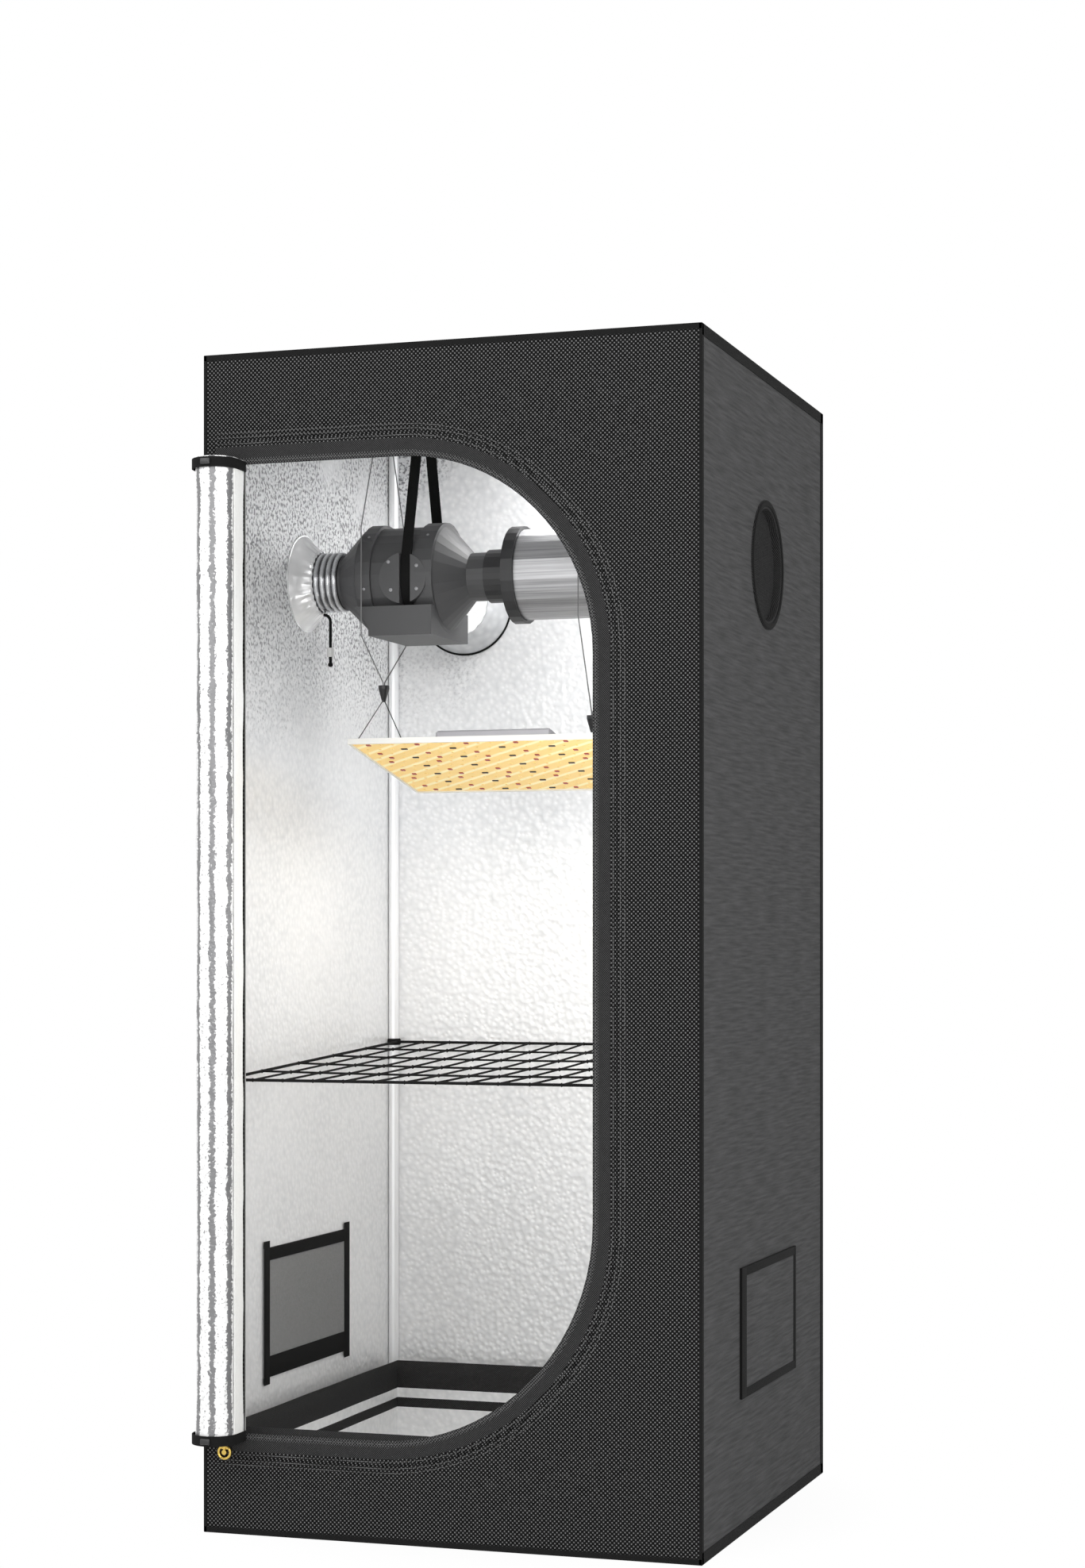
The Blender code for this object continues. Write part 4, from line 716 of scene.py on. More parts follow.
def lathe(shape, profile, centre, axis, steps, closed=True):
    """Turns a profile of (radius, distance along the axis) points about an axis."""
    axis, centre = Vector(axis), Vector(centre)
    side = axis.orthogonal().normalized()
    first = [shape.verts.new(centre + side * radius + axis * along) for radius, along in profile]
    pairs = zip(first, first[1:] + first[:1]) if closed else zip(first, first[1:])
    edges = [shape.edges.new(pair) for pair in pairs]
    bmesh.ops.spin(
        shape, geom=first + edges, cent=centre, axis=axis, angle=2 * math.pi, steps=steps, use_merge=True
    )
    bmesh.ops.remove_doubles(shape, verts=shape.verts, dist=LATHE_WELD)


def band_outline(line, half):
    """A closed outline running at a distance on both sides of a flat line."""
    one_side, other_side = [], []
    for i, (a, b) in enumerate(line):
        before, after = line[max(0, i - 1)], line[min(len(line) - 1, i + 1)]
        along = Vector((after[0] - before[0], after[1] - before[1])).normalized()
        one_side.append((a - along.y * half, b + along.x * half))
        other_side.append((a + along.y * half, b - along.x * half))
    return one_side + other_side[::-1]


def arc(centre, radius, start, end, steps):
    turn = (end - start) / steps
    return [
        (centre[0] + radius * math.cos(start + turn * i), centre[1] + radius * math.sin(start + turn * i))
        for i in range(steps + 1)
    ]


def door_path(grow, steps=20):
    """The opening's top, right and bottom edges moved outwards, from its left end at the top."""
    top = (DOOR_RIGHT - DOOR_TOP_RADIUS, DOOR_TOP - DOOR_TOP_RADIUS)
    bottom = (DOOR_RIGHT - DOOR_BOTTOM_RADIUS, DOOR_BOTTOM + DOOR_BOTTOM_RADIUS)
    upper = arc(top, DOOR_TOP_RADIUS + grow, math.pi / 2, 0, steps)
    return upper + arc(bottom, DOOR_BOTTOM_RADIUS + grow, 0, -math.pi / 2, steps)


def even_points(path, pitch):
    """Points a pitch apart along a path."""
    made, left = [], 0.0
    for start, end in zip(path, path[1:]):
        length = (end - start).length
        while left < length:
            made.append((start.lerp(end, left / length), (end - start).normalized()))
            left += pitch
        left -= length
    return made


def stitches(shape, path, out, lift):
    """A row of short stitches lying along a path."""
    size = Matrix.Diagonal((STITCH_LENGTH, 2 * STITCH_HALF, 2 * STITCH_HALF, 1))
    for point, along in even_points(path, STITCH_PITCH):
        place = axes_at(point + Vector(out) * lift, along, along.cross(out).normalized(), Vector(out))
        bmesh.ops.create_cube(shape, size=1, matrix=place @ size)


def fade(value, width):
    share = min(1.0, max(0.0, value / width))
    return share * share * (3 - 2 * share)


# Cover


class Wall:
    """One wall of the cover: where its node is, and its own across, up and out directions."""

    def __init__(self, node, across, up, out, outer_look):
        low, high = (Vector(corner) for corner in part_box(node))
        self.node = node
        self.across, self.up, self.out = Vector(across), Vector(up), Vector(out)
        self.middle = (low + high) / 2
        size = high - low
        self.width = abs(size.dot(self.across))
        self.height = abs(size.dot(self.up))
        self.thick = abs(size.dot(self.out))
        self.looks = [outer_look, FILM]

    def at(self, across, up, out=0.0):
        return self.middle + self.across * across + self.up * up + self.out * out


def prism(outline, wall):
    """A cutter through a wall, from an outline in its across and up distances."""
    shape = bmesh.new()
    reach = wall.thick * 3
    shape.faces.new([shape.verts.new(wall.at(across, up, -reach)) for across, up in outline])
    thicken(shape, wall.out * 2 * reach)
    bmesh.ops.recalc_face_normals(shape, faces=shape.faces)
    return new_object("cutter", shape)


def cut_through(piece, cutters):
    for cutter in cutters:
        step = piece.modifiers.new("hole", "BOOLEAN")
        step.operation = "DIFFERENCE"
        step.solver = "EXACT"
        step.object = cutter
    view = bpy.context.evaluated_depsgraph_get()
    mesh = bpy.data.meshes.new_from_object(piece.evaluated_get(view))
    piece.modifiers.clear()
    piece.data = mesh
    for cutter in cutters:
        bpy.data.objects.remove(cutter, do_unlink=True)


def wall_sheet(wall, holes, calm):
    """A slack cloth wall. It bows inwards, but not at its edges or near what is fixed to it."""
    shape = bmesh.new()
    columns, rows = round(wall.width / CLOTH_GRID), round(wall.height / CLOTH_GRID)
    sides = (wall.across * wall.width, wall.up * wall.height, wall.out)
    place = axes_at(wall.at(0, 0, wall.thick / 2), *sides)
    bmesh.ops.create_grid(shape, x_segments=columns, y_segments=rows, size=0.5, matrix=place)
    thicken(shape, -wall.out * wall.thick)
    name = wall.node.replace("panel", "cloth")
    looks = (wall.looks, "cover_cloth")
    piece = finish_piece(name, shape, *looks, stands_for=[wall.node], sharp=WALL_SHARP)
    if holes:
        cut_through(piece, [prism(hole, wall) for hole in holes])
    for vert in piece.data.vertices:
        place = vert.co - wall.middle
        across, up = place.dot(wall.across), place.dot(wall.up)
        edge = min(wall.width / 2 - abs(across), wall.height / 2 - abs(up))
        slack = fade(edge, EDGE_CALM)
        for near_across, near_up, reach in calm:
            slack *= fade(math.hypot(across - near_across, up - near_up) - reach, FIXED_CALM)
        drift = WALL_BOW + noise.noise(place * WALL_BOW_SCALE)
        vert.co -= wall.out * WALL_BELLY * slack * drift
    for face in piece.data.polygons:
        face.material_index = 1 if face.normal.dot(wall.out) < -0.5 else 0
    piece.data.shade_smooth()
    piece.data.set_sharp_from_angle(angle=math.radians(WALL_SHARP))


def circle_at(across, up, radius, steps=48):
    return arc((across, up), radius, 0, 2 * math.pi, steps)[:-1]


def box_outline(left, bottom, right, top):
    return [(left, bottom), (right, bottom), (right, top), (left, top)]


def cover():
    """The six cloths of the cover, black outside and silver inside."""
    front = Wall("front_panel", (1, 0, 0), (0, 0, 1), (0, -1, 0), FRONT_CLOTH)
    lift = front.middle.z
    door = [(DOOR_LEFT, DOOR_BOTTOM), (DOOR_LEFT, DOOR_TOP)] + door_path(0)
    door = [(across, up - lift) for across, up in door]
    wall_sheet(front, [door], [DOOR_CALM])
    back = Wall("back_panel", (-1, 0, 0), (0, 0, 1), (0, 1, 0), PAINTED_LIT_SIDE_CLOTH)
    port = (-BACK_PORT_X, PORT_Z - lift)
    hole = circle_at(*port, BACK_PORT_RADIUS)
    wall_sheet(back, [hole], [(*port, BACK_PORT_RADIUS + PORT_CALM)])
    for node, hand, radius in (
        ("left_panel", -1, DUCT_PORT_RADIUS),
        ("right_panel", 1, RIGHT_PORT_RADIUS),
    ):
        wall = Wall(node, (0, hand, 0), (0, 0, 1), (hand, 0, 0), PAINTED_LIT_SIDE_CLOTH)
        low, high = VENT_LOW, VENT_HIGH
        sides = sorted((hand * low[0], hand * high[0]))
        vent = box_outline(sides[0], low[1] - lift, sides[1], high[1] - lift)
        middle = (hand * (low[0] + high[0]) / 2, (low[1] + high[1]) / 2 - lift)
        calm = [(0, PORT_Z - lift, radius + PORT_CALM), (*middle, VENT_CALM)]
        wall_sheet(wall, [circle_at(0, PORT_Z - lift, radius), vent], calm)
    wall_sheet(Wall("roof_panel", (1, 0, 0), (0, 1, 0), (0, 0, 1), LYING_CLOTH), [], [])
    floor = Wall("floor_panel", (1, 0, 0), (0, -1, 0), (0, 0, -1), LYING_CLOTH)
    wall_sheet(floor, [], [(0, 0, FLOOR_CALM)])


def binding(shape, start, end, face_a, wide_a, face_b, wide_b):
    """A strip folded over one edge of the tent, reaching onto both its faces."""
    a, b = Vector(face_a), Vector(face_b)
    along = (Vector(end) - Vector(start)).normalized()
    lift, cut, rest = BINDING_THICK, BINDING_THICK * BINDING_CHAMFER, GAP / 3
    section = [(lift, -wide_a), (lift, cut), (cut, lift), (-wide_b, lift)]
    section += [(-wide_b, rest), (rest, rest), (rest, -wide_a)]
    sweep(shape, section, [axes_at(point, a, b, along) for point in (start, end)])


def bindings():
    """Black strips sewn over the cover's twelve edges."""
    shape = new_shape()
    half, foot, top = TENT_HALF, BINDING_THICK, CAD_BOX[1][2]
    above, below = (0, 0, 1), (0, 0, -1)
    fronts = ((-half, FRONT_BINDING), (half, SIDE_BINDING))
    for x in (-half, half):
        side = (math.copysign(1, x), 0, 0)
        for y, wide in fronts:
            face = (0, math.copysign(1, y), 0)
            binding(shape, (x, y, foot), (x, y, top), face, wide / 2, side, wide)
        binding(shape, (x, -half, top), (x, half, top), side, SIDE_BINDING, above, SIDE_BINDING)
        binding(shape, (x, -half, foot), (x, half, foot), side, SIDE_BINDING, below, GAP)
    for y, wide in fronts:
        face = (0, math.copysign(1, y), 0)
        binding(shape, (-half, y, top), (half, y, top), face, wide, above, SIDE_BINDING)
        binding(shape, (-half, y, foot), (half, y, foot), face, wide, below, GAP)
    finish_piece("edge_bindings", shape, [WEBBING], "black_web")


def in_front(points, y):
    return [Vector((across, y, up)) for across, up in points]


def round_opening(start, grow):
    """The opening's edge moved outwards, from a start at its top round to the same one below."""
    return [(start, DOOR_TOP + grow)] + door_path(grow) + [(start, DOOR_BOTTOM - grow)]


def zip_cover():
    """The cloth band over the zip, slightly domed, sewn down along both its edges."""
    low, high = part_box("zip_band")
    face, ahead = high[1], (0, -1, 0)
    width, thick = high[0] - DOOR_RIGHT, high[1] - low[1]
    half = width / 2
    shares = [k / BAND_STEPS for k in range(-BAND_STEPS, BAND_STEPS + 1)]
    crown = [(half * share, thick * (BAND_CROWN - BAND_DROP * share**2)) for share in shares]
    section = [(-half, 0.0)] + crown + [(half, 0.0)]
    route = in_front(round_opening(low[0], half), face)
    shape = new_shape()
    sweep(shape, section, stations(route, Vector(ahead)))
    spot = shape.verts.layers.int["spot"]
    for part in shape.faces:
        place = sum(vert[spot] for vert in part.verts) / len(part.verts)
        part.material_index = 1 if place > BAND_EDGE_SPOT else 2 if place < BAND_SEAM_SPOT else 0
    strips = [BAND_CLOTH, BAND_EDGE, BAND_SEAM]
    band = finish_piece("zip_cover_band", shape, strips, "black_web", stands_for=["zip_band"])
    rows = new_shape()
    start = low[0] + ROW_START
    for grow in (BAND_SEAM_IN, width - BAND_SEAM_IN):
        stitches(rows, in_front(round_opening(start, grow), face), ahead, thick * BAND_ROW_LIFT)
    for beyond in CLOTH_ROWS:
        row = round_opening(start, width + beyond)
        stitches(rows, in_front(row, -TENT_HALF), ahead, STITCH_HALF / 2)
    thread = finish_piece("zip_cover_stitches", rows, [THREAD], "black_web", sharp=30)


# Rolled door


def roll_line():
    """The wound door's middle line seen from above: from its seam, tangent to the roll, inwards."""
    outer = ROLL_RADIUS - ROLL_CLOTH / 2 - GAP
    across, along = SEAM_X - ROLL_X, SEAM_Y - ROLL_Y
    start = math.atan2(along, across) - math.acos(outer / math.hypot(across, along))
    wound = []
    for i in range(int(ROLL_TURNS * ROLL_STEPS) + 1):
        angle = start - 2 * math.pi * i / ROLL_STEPS
        reach = outer - ROLL_PITCH * i / ROLL_STEPS
        wound.append((ROLL_X + math.cos(angle) * reach, ROLL_Y + math.sin(angle) * reach))
    seam, first = Vector((SEAM_X, SEAM_Y)), Vector(wound[0])
    return [tuple(seam.lerp(first, k / SEAM_STEPS)) for k in range(SEAM_STEPS)] + wound


def wave_at(place, share, scale, shift):
    """One wave of the crumple, from noise with a scale and a shift on each axis."""
    return share * noise.noise(Vector([a * b + c for a, b, c in zip(place, scale, shift)]))


def rolled_door():
    """The door wound up on itself, its silver lining outwards, crumpled but flat under its straps."""
    low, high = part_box("door_roll")
    line = roll_line()
    levels = [low[2] + (high[2] - low[2]) * k / ROLL_LEVELS for k in range(ROLL_LEVELS + 1)]
    shape = new_shape()
    draw_up(shape, band_outline(line, ROLL_CLOTH / 2), levels)
    ties = [sum(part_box(f"roll_strap_{end}")[k][2] for k in (0, 1)) / 2 for end in ("top", "bottom")]
    for vert in shape.verts:
        arm = Vector((vert.co.x - ROLL_X, vert.co.y - ROLL_Y, 0))
        held = min(fade(abs(vert.co.z - tie) - STRAP_WIDTH / 2, TIE_CALM) for tie in ties)
        give = held if arm.length > ROLL_RADIUS - 2 * ROLL_CLOTH else held * ROLL_INNER_SHARE
        waves = -ROLL_PRESSED + wave_at(vert.co, *ROLL_BROAD) + wave_at(vert.co, *ROLL_FINE)
        squeeze = ROLL_CRUMPLE * (waves - abs(wave_at(vert.co, *ROLL_CREASE)))
        vert.co += arm.normalized() * squeeze * give
    silver = ([ROLL_FILM], "silver_lining")
    piece = finish_piece("rolled_door", shape, *silver, stands_for=["door_roll"], sharp=60)


def roll_trim():
    """The smooth hem tape between the roll and its seam, and the dark piping beside the opening."""
    low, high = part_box("door_roll")
    hem = roll_line()[1 : SEAM_STEPS + HEM_STEPS]
    outside = [Vector(point) for point in band_outline(hem, ROLL_CLOTH / 2 + GAP + TAPE_THICK / 2)]
    one, other = outside[: len(hem)], outside[len(hem) :][::-1]
    front = one if one[-1].x > other[-1].x else other
    tape = new_shape()
    draw_up(tape, band_outline(front, TAPE_THICK / 2), (low[2] + ROLL_CLOTH, high[2] - ROLL_CLOTH))
    finish_piece("roll_hem_tape", tape, [PALE_TAPE], "silver_lining", sharp=60)
    cord = new_shape()
    route = [Vector((DOOR_LEFT + PIPING, -TENT_HALF - PIPING, z)) for z in (DOOR_BOTTOM, DOOR_TOP)]
    sweep(cord, round_section(PIPING_RADIUS, 10), stations(route, Vector((0, -1, 0))))
    finish_piece("opening_piping", cord, [GREY_PIPING], "black_web")


def belt_path(big, big_radius, small, small_radius, steps):
    """A band's line drawn tight round two circles."""
    across, along = small[0] - big[0], small[1] - big[1]
    heading = math.atan2(along, across)
    lean = math.acos((big_radius - small_radius) / math.hypot(across, along))
    line = arc(big, big_radius, heading + lean, heading + 2 * math.pi - lean, steps)
    return line + arc(small, small_radius, heading - lean, heading + lean, max(4, steps // 3))


def roll_straps():
    """Webbing ties round the roll, each with its toggle."""
    line = belt_path((ROLL_X, ROLL_Y), ROLL_RADIUS + GAP, (SEAM_X, SEAM_Y), SEAM_RADIUS + GAP, 36)
    front = ROLL_Y - ROLL_RADIUS - GAP - STRAP_THICK
    for end in ("top", "bottom"):
        node = f"roll_strap_{end}"
        foot, top = (corner[2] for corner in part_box(node))
        height = top - foot
        route = [Vector((x, y, (foot + top) / 2)) for x, y in line]
        shape = new_shape()
        section = [(out, across) for across, out in web_section(height, STRAP_THICK)]
        sweep(shape, section, stations(route, Vector((0, 0, 1)), ring=True), ring=True)
        strap = finish_piece(f"roll_tie_{end}", shape, [WEBBING], "black_web", stands_for=[node])
        toggle = new_shape()
        low = (ROLL_X - TOGGLE_HALF, front - TOGGLE_DEEP, foot + TOGGLE_IN)
        high = (ROLL_X + TOGGLE_HALF, front, top - TOGGLE_IN)
        slab(toggle, low, high, TOGGLE_ROUND)
        button = finish_piece(f"roll_toggle_{end}", toggle, [BLACK_PLASTIC], "black_plastic")


# Port sleeves


def gathers(shape, centre, axis, near, far, folds, depth):
    """Presses radial folds into a sleeve, deeper towards its free end."""
    axis = Vector(axis)
    side = axis.orthogonal().normalized()
    other = axis.cross(side)
    for vert in shape.verts:
        place = vert.co - Vector(centre)
        along = place.dot(axis)
        share = fade((along - near) / (far - near), 1.0)
        arm = place - axis * along
        if arm.length < NEAR_AXIS:
            continue
        angle = math.atan2(arm.dot(other), arm.dot(side))
        crease = abs(math.sin(angle * folds / 2)) - 0.5 + GATHER_DRIFT * noise.noise(place * GATHER_SCALE)
        vert.co += arm.normalized() * crease * depth * share


def open_rim(radius):
    """Where an open sleeve lies on the wall and turns in through its port, as (radius, distance)."""
    flange = GAP + SLEEVE_THICK / 2
    start, inside = RIM_INNER
    return [(radius + RIM_LAP, flange), (radius + RIM_TURN, flange + RIM_LIFT), (radius + start, inside)]


def with_cone(rim, end, steps, curve=1.0):
    """A sleeve's rim, then its cone from the rim's last point to an end, bowed by a power."""
    (r0, d0), (r1, d1) = rim[-1], end
    numbers = range(1, steps + 1)
    return rim + [(r0 + (r1 - r0) * (k / steps) ** curve, d0 + (d1 - d0) * k / steps) for k in numbers]


def sleeve(name, node, line, place, folds, look, slot):
    """A sleeve sewn flat round its port, with gathers that deepen towards its free end."""
    centre, axis, wall = place
    shape = new_shape()
    lathe(shape, band_outline(line, SLEEVE_THICK / 2), centre, axis, 120)
    far = line[-1][1]
    heading = Vector(axis) * math.copysign(1, far)
    gathers(shape, centre, heading, abs(line[3][1]), abs(far), *folds)
    piece = finish_piece(name, shape, [look], slot, stands_for=[node])


def sleeves():
    """The three port sleeves: one round the duct, one drawn shut outside and one standing open."""
    inner_face = TENT_HALF - CLOTH
    line = with_cone(open_rim(DUCT_PORT_RADIUS), (CUFF_RADIUS, CUFF_START), 7, 0.9)
    line += [(CUFF_RADIUS, CUFF_END)]
    place = ((-inner_face, 0, PORT_Z), (1, 0, 0), "left_cloth")
    sleeve("duct_sleeve", "left_port_sleeve", line, place, DUCT_FOLDS, CRUMPLED_FILM, "silver_lining")

    flange = GAP + SLEEVE_THICK / 2
    rim = [(SLEEVE_LAP, flange), (SLEEVE_TURN, flange), *SHUT_RIM]
    rim = [(RIGHT_PORT_RADIUS + wider, out) for wider, out in rim]
    line = with_cone(rim, SHUT_NECK[0], 10, 0.92) + list(SHUT_NECK[1:])
    place = ((TENT_HALF, 0, PORT_Z), (1, 0, 0), "right_cloth")
    sleeve("shut_sleeve", "right_port_sleeve", line, place, SHUT_FOLDS, SLEEVE_CLOTH, "cover_cloth")

    line = with_cone(open_rim(BACK_PORT_RADIUS), BACK_MOUTH, 8)
    place = ((BACK_PORT_X, inner_face, PORT_Z), (0, -1, 0), "back_cloth")
    sleeve("back_sleeve", "back_port_sleeve", line, place, BACK_FOLDS, SMOOTH_FILM, "silver_lining")


def port_bindings():
    """A bound ring round each port outside, and a thin dark ring inside round the back one's edge."""
    shape = new_shape()
    on_sleeve = GAP + SLEEVE_THICK
    shut, rim = RIGHT_PORT_RADIUS + SHUT_RING_OUT, BACK_PORT_RADIUS + BACK_RIM_RING_OUT
    for centre, axis, radius, lift, width in (
        ((TENT_HALF, 0, PORT_Z), (1, 0, 0), shut, on_sleeve, PORT_BINDING),
        ((-TENT_HALF, 0, PORT_Z), (-1, 0, 0), DUCT_PORT_RADIUS, 0.0, PORT_BINDING),
        ((BACK_PORT_X, TENT_HALF, PORT_Z), (0, 1, 0), BACK_PORT_RADIUS, 0.0, PORT_BINDING),
        ((BACK_PORT_X, TENT_HALF - CLOTH, PORT_Z), (0, -1, 0), rim, on_sleeve, BACK_RIM_RING),
    ):
        slope = min(RING_SLOPE, width / 3)
        low, high = lift + GAP / 3, lift + GAP / 3 + BINDING_THICK * RING_HIGH
        edge = (low + high) / 2
        profile = [(radius, low), (radius, edge), (radius + slope, high)]
        profile += [(radius + width - slope, high), (radius + width, edge)]
        profile += [(radius + width, low)]
        lathe(shape, profile, centre, axis, 96)
    finish_piece("port_bindings", shape, [WEBBING], "black_web")


def drawcord():
    """The loose end of the sleeve's drawcord, knotted below its lock."""
    half = CORD_DIAMETER / 2
    route = [Vector(point) for point in CORD_ROUTE]
    shape = new_shape()
    sweep(shape, round_section(half, 10), stations(route, Vector((0, 1, 0))))
    cord = finish_piece("duct_sleeve_cord", shape, [WEBBING], "black_web", stands_for=["sleeve_drawcord"])
    knot = [(0.0, 0.0), (half, 0.0), (KNOT_RADIUS, KNOT_HEIGHT * KNOT_SHOULDER)]
    knot += [(KNOT_RADIUS, KNOT_HEIGHT * (1 - KNOT_SHOULDER)), (half, KNOT_HEIGHT), (0.0, KNOT_HEIGHT)]
    ball = new_shape()
    lathe(ball, knot, route[-1], (0, 0, 1), 16, closed=False)
    tied = finish_piece("duct_sleeve_knot", ball, [WEBBING], "black_web")


# Vents


def slack_panel(shape, low, high, side):
    """A thin cloth facing along X. It bows a little to one side between its edges."""
    width, height = high.y - low.y, high.z - low.z
    columns, rows = round(width / PANEL_GRID), round(height / PANEL_GRID)
    middle = Vector((low.x, (low.y + high.y) / 2, (low.z + high.z) / 2))
    place = axes_at(middle, (0, width, 0), (0, 0, height), (1, 0, 0))
    bmesh.ops.create_grid(shape, x_segments=columns, y_segments=rows, size=0.5, matrix=place)
    thicken(shape, (high.x - low.x, 0, 0))
    for vert in shape.verts:
        edge = min(vert.co.y - low.y, high.y - vert.co.y, vert.co.z - low.z, high.z - vert.co.z)
        drift = 1 + noise.noise(Vector((0, vert.co.y, vert.co.z)) * PANEL_DRIFT)
        vert.co.x += side * PANEL_BELLY * drift * fade(edge, PANEL_HELD)


def edge_strips(name, face_x, side, outlines, body):
    """Flat strips lying on a face that looks along X, each given as left, bottom, right and top."""
    shape = new_shape()
    near, far = sorted((face_x + side * STRIP_REST, face_x + side * STRIP_PROUD))
    for left, bottom, right, top in outlines:
        slab(shape, (near, left, bottom), (far, right, top), STRIP_ROUND)
    return finish_piece(name, shape, [WEBBING], "black_web", body)


def vents():
    """Outside, bound flaps that fold down. Inside, screens in a frame of black strips."""
    for hand, side, front_width in (("left", -1, FLAP_EDGE), ("right", 1, FLAP_FRONT)):
        vent_flap(hand, side, front_width)
        vent_screen(hand, side)


def vent_flap(hand, side, front_width):
    node, body = f"{hand}_vent_flap", f"{hand}_flap"
    low, high = (Vector(corner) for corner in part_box(node))
    shape = new_shape()
    slack_panel(shape, low, high, side)
    for face in shape.faces:
        spot = face.calc_center_median()
        hem = min(spot.y - low.y, high.y - spot.y, spot.z - low.z, high.z - spot.z) < FLAP_EDGE
        face.material_index = 1 if hem else 0
    flap = finish_piece(f"{body}_cloth", shape, [PAINTED_LIT_SIDE_CLOTH, WEBBING], "cover_cloth", body, [node])
    front, back = low.y + front_width, high.y - FLAP_EDGE
    strips = [(low.y, low.z, front, high.z), (back, low.z, high.y, high.z)]
    strips += [(front, high.z - FLAP_EDGE, back, high.z), (front, low.z, back, low.z + FLAP_EDGE)]
    outer_x = high.x if side > 0 else low.x
    edge = edge_strips(f"{body}_binding", outer_x, side, strips, body)


def vent_screen(hand, side):
    node = f"{hand}_vent_screen"
    low, high = (Vector(corner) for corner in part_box(node))
    shape = new_shape()
    slack_panel(shape, low, high, -side)
    mesh = finish_piece(f"{hand}_screen_mesh", shape, [SCREEN], "screen_mesh", stands_for=[node])
    left, right = low.y + SCREEN_SIDE, high.y - SCREEN_SIDE
    bottom, top = low.z - SCREEN_TAB, high.z + SCREEN_TAB
    strips = [(low.y, bottom, left, top), (right, bottom, high.y, top)]
    strips += [(left, high.z - SCREEN_HEAD, right, high.z), (left, low.z, right, low.z + SCREEN_FOOT)]
    inner_x = low.x if side > 0 else high.x
    frame_strips = edge_strips(f"{hand}_screen_frame", inner_x, -side, strips, "tent")


# Tray


def slice_at(shape, axis, distance):
    """Cuts a shape's faces along a plane across one axis, without taking anything away."""
    place, normal = Vector((0, 0, 0)), Vector((0, 0, 0))
    place[axis] = distance
    normal[axis] = 1
    geom = shape.verts[:] + shape.edges[:] + shape.faces[:]
    bmesh.ops.bisect_plane(shape, geom=geom, plane_co=place, plane_no=normal)


def tray():
    """The loose floor tray: silver, with a black band along its rim and, below it, a dark stripe of painted
    shade.
    """
    low, high = (Vector(corner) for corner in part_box("floor_tray"))
    shape = bmesh.new()
    bmesh.ops.create_cube(shape, size=1, matrix=box_between(low, high))
    lid = max(shape.faces, key=lambda face: face.calc_center_median().z)
    bmesh.ops.delete(shape, geom=[lid], context="FACES_ONLY")
    for level in TRAY_CUTS:
        slice_at(shape, 2, level)
    for axis in (0, 1):
        for k in range(1, TRAY_COLUMNS):
            slice_at(shape, axis, low[axis] + (high[axis] - low[axis]) * k / TRAY_COLUMNS)
    for vert in shape.verts:
        if vert.co.z > low.z + TRAY_CORNER:
            lean = fade(vert.co.z - low.z, high.z - low.z)
            pull = min(TRAY_LEAN * lean * (1 + noise.noise(vert.co * TRAY_DRIFT)), TRAY_LEAN_MOST)
            for axis in (0, 1):
                if abs(abs(vert.co[axis]) - high[axis]) < TRAY_SIDE:
                    vert.co[axis] -= math.copysign(pull, vert.co[axis])
    bmesh.ops.recalc_face_normals(shape, faces=shape.faces)
    for face in shape.faces:
        level = face.calc_center_median().z
        # the rim's black band, and the stripe of painted shade below it
        dark = level > TRAY_BAND or TRAY_SHADE_STRIPE[0] < level < TRAY_SHADE_STRIPE[1]
        face.material_index = 1 if dark and abs(face.normal.z) < 0.5 else 0
    piece = finish_piece("silver_tray", shape, [FILM, BAND_CLOTH], "silver_lining", stands_for=["floor_tray"])
    wall = piece.modifiers.new("wall", "SOLIDIFY")
    wall.thickness = TRAY_WALL
    wall.offset = -1


# Hung equipment


def line_strap(node, name, centre_x, radius):
    """Webbing over the bar and round a piece of the fan line."""
    line = belt_path((0, PORT_Z), radius + GAP, (0, BAR_Z), POLE_RADIUS + GAP, 40)
    route = [Vector((centre_x, y, z)) for y, z in line]
    shape = new_shape()
    section = [(out, across) for across, out in web_section(STRAP_WIDTH, STRAP_THICK)]
    sweep(shape, section, stations(route, Vector((1, 0, 0)), ring=True), ring=True)
    strap = finish_piece(name, shape, [WEBBING], "black_web", stands_for=[node])


def foil_duct():
    """Ribbed foil hose from the fan to the port, a little crumpled."""
    low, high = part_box("outlet_duct")
    length, crest = high[0] - low[0], (high[2] - low[2]) / 2
    steps = DUCT_RIBS * RIB_STEPS
    profile = []
    for k in range(steps + 1):
        share = k / steps
        wave = 0.5 - 0.5 * math.cos(2 * math.pi * DUCT_RIBS * share)
        profile.append((DUCT_VALLEY + (crest - DUCT_VALLEY) * wave**RIB_ROUND, length * share))
    profile += [(DUCT_BORE, length), (DUCT_BORE, 0.0)]
    shape = new_shape()
    lathe(shape, profile, (low[0], 0, PORT_Z), (1, 0, 0), 72)
    for vert in shape.verts:
        arm = Vector((0, vert.co.y, vert.co.z - PORT_Z))
        if arm.length > DUCT_VALLEY - DENT_FROM:
            dent = DUCT_DENT * noise.noise(vert.co * DUCT_DENT_SCALE) - DUCT_DENT / 2
            vert.co += arm.normalized() * dent
    finish_piece("foil_hose", shape, [FOIL], "duct_foil", stands_for=["outlet_duct"], sharp=70)


def screw_head(shape, place, axis, radius):
    """A pan-head screw."""
    profile = [(0.0, SCREW_HEIGHT), (radius * SCREW_TOP, SCREW_HEIGHT)]
    profile += [(radius, SCREW_HEIGHT * SCREW_SHOULDER), (radius, 0.0), (0.0, 0.0)]
    lathe(shape, profile, place, axis, SCREW_STEPS, closed=False)


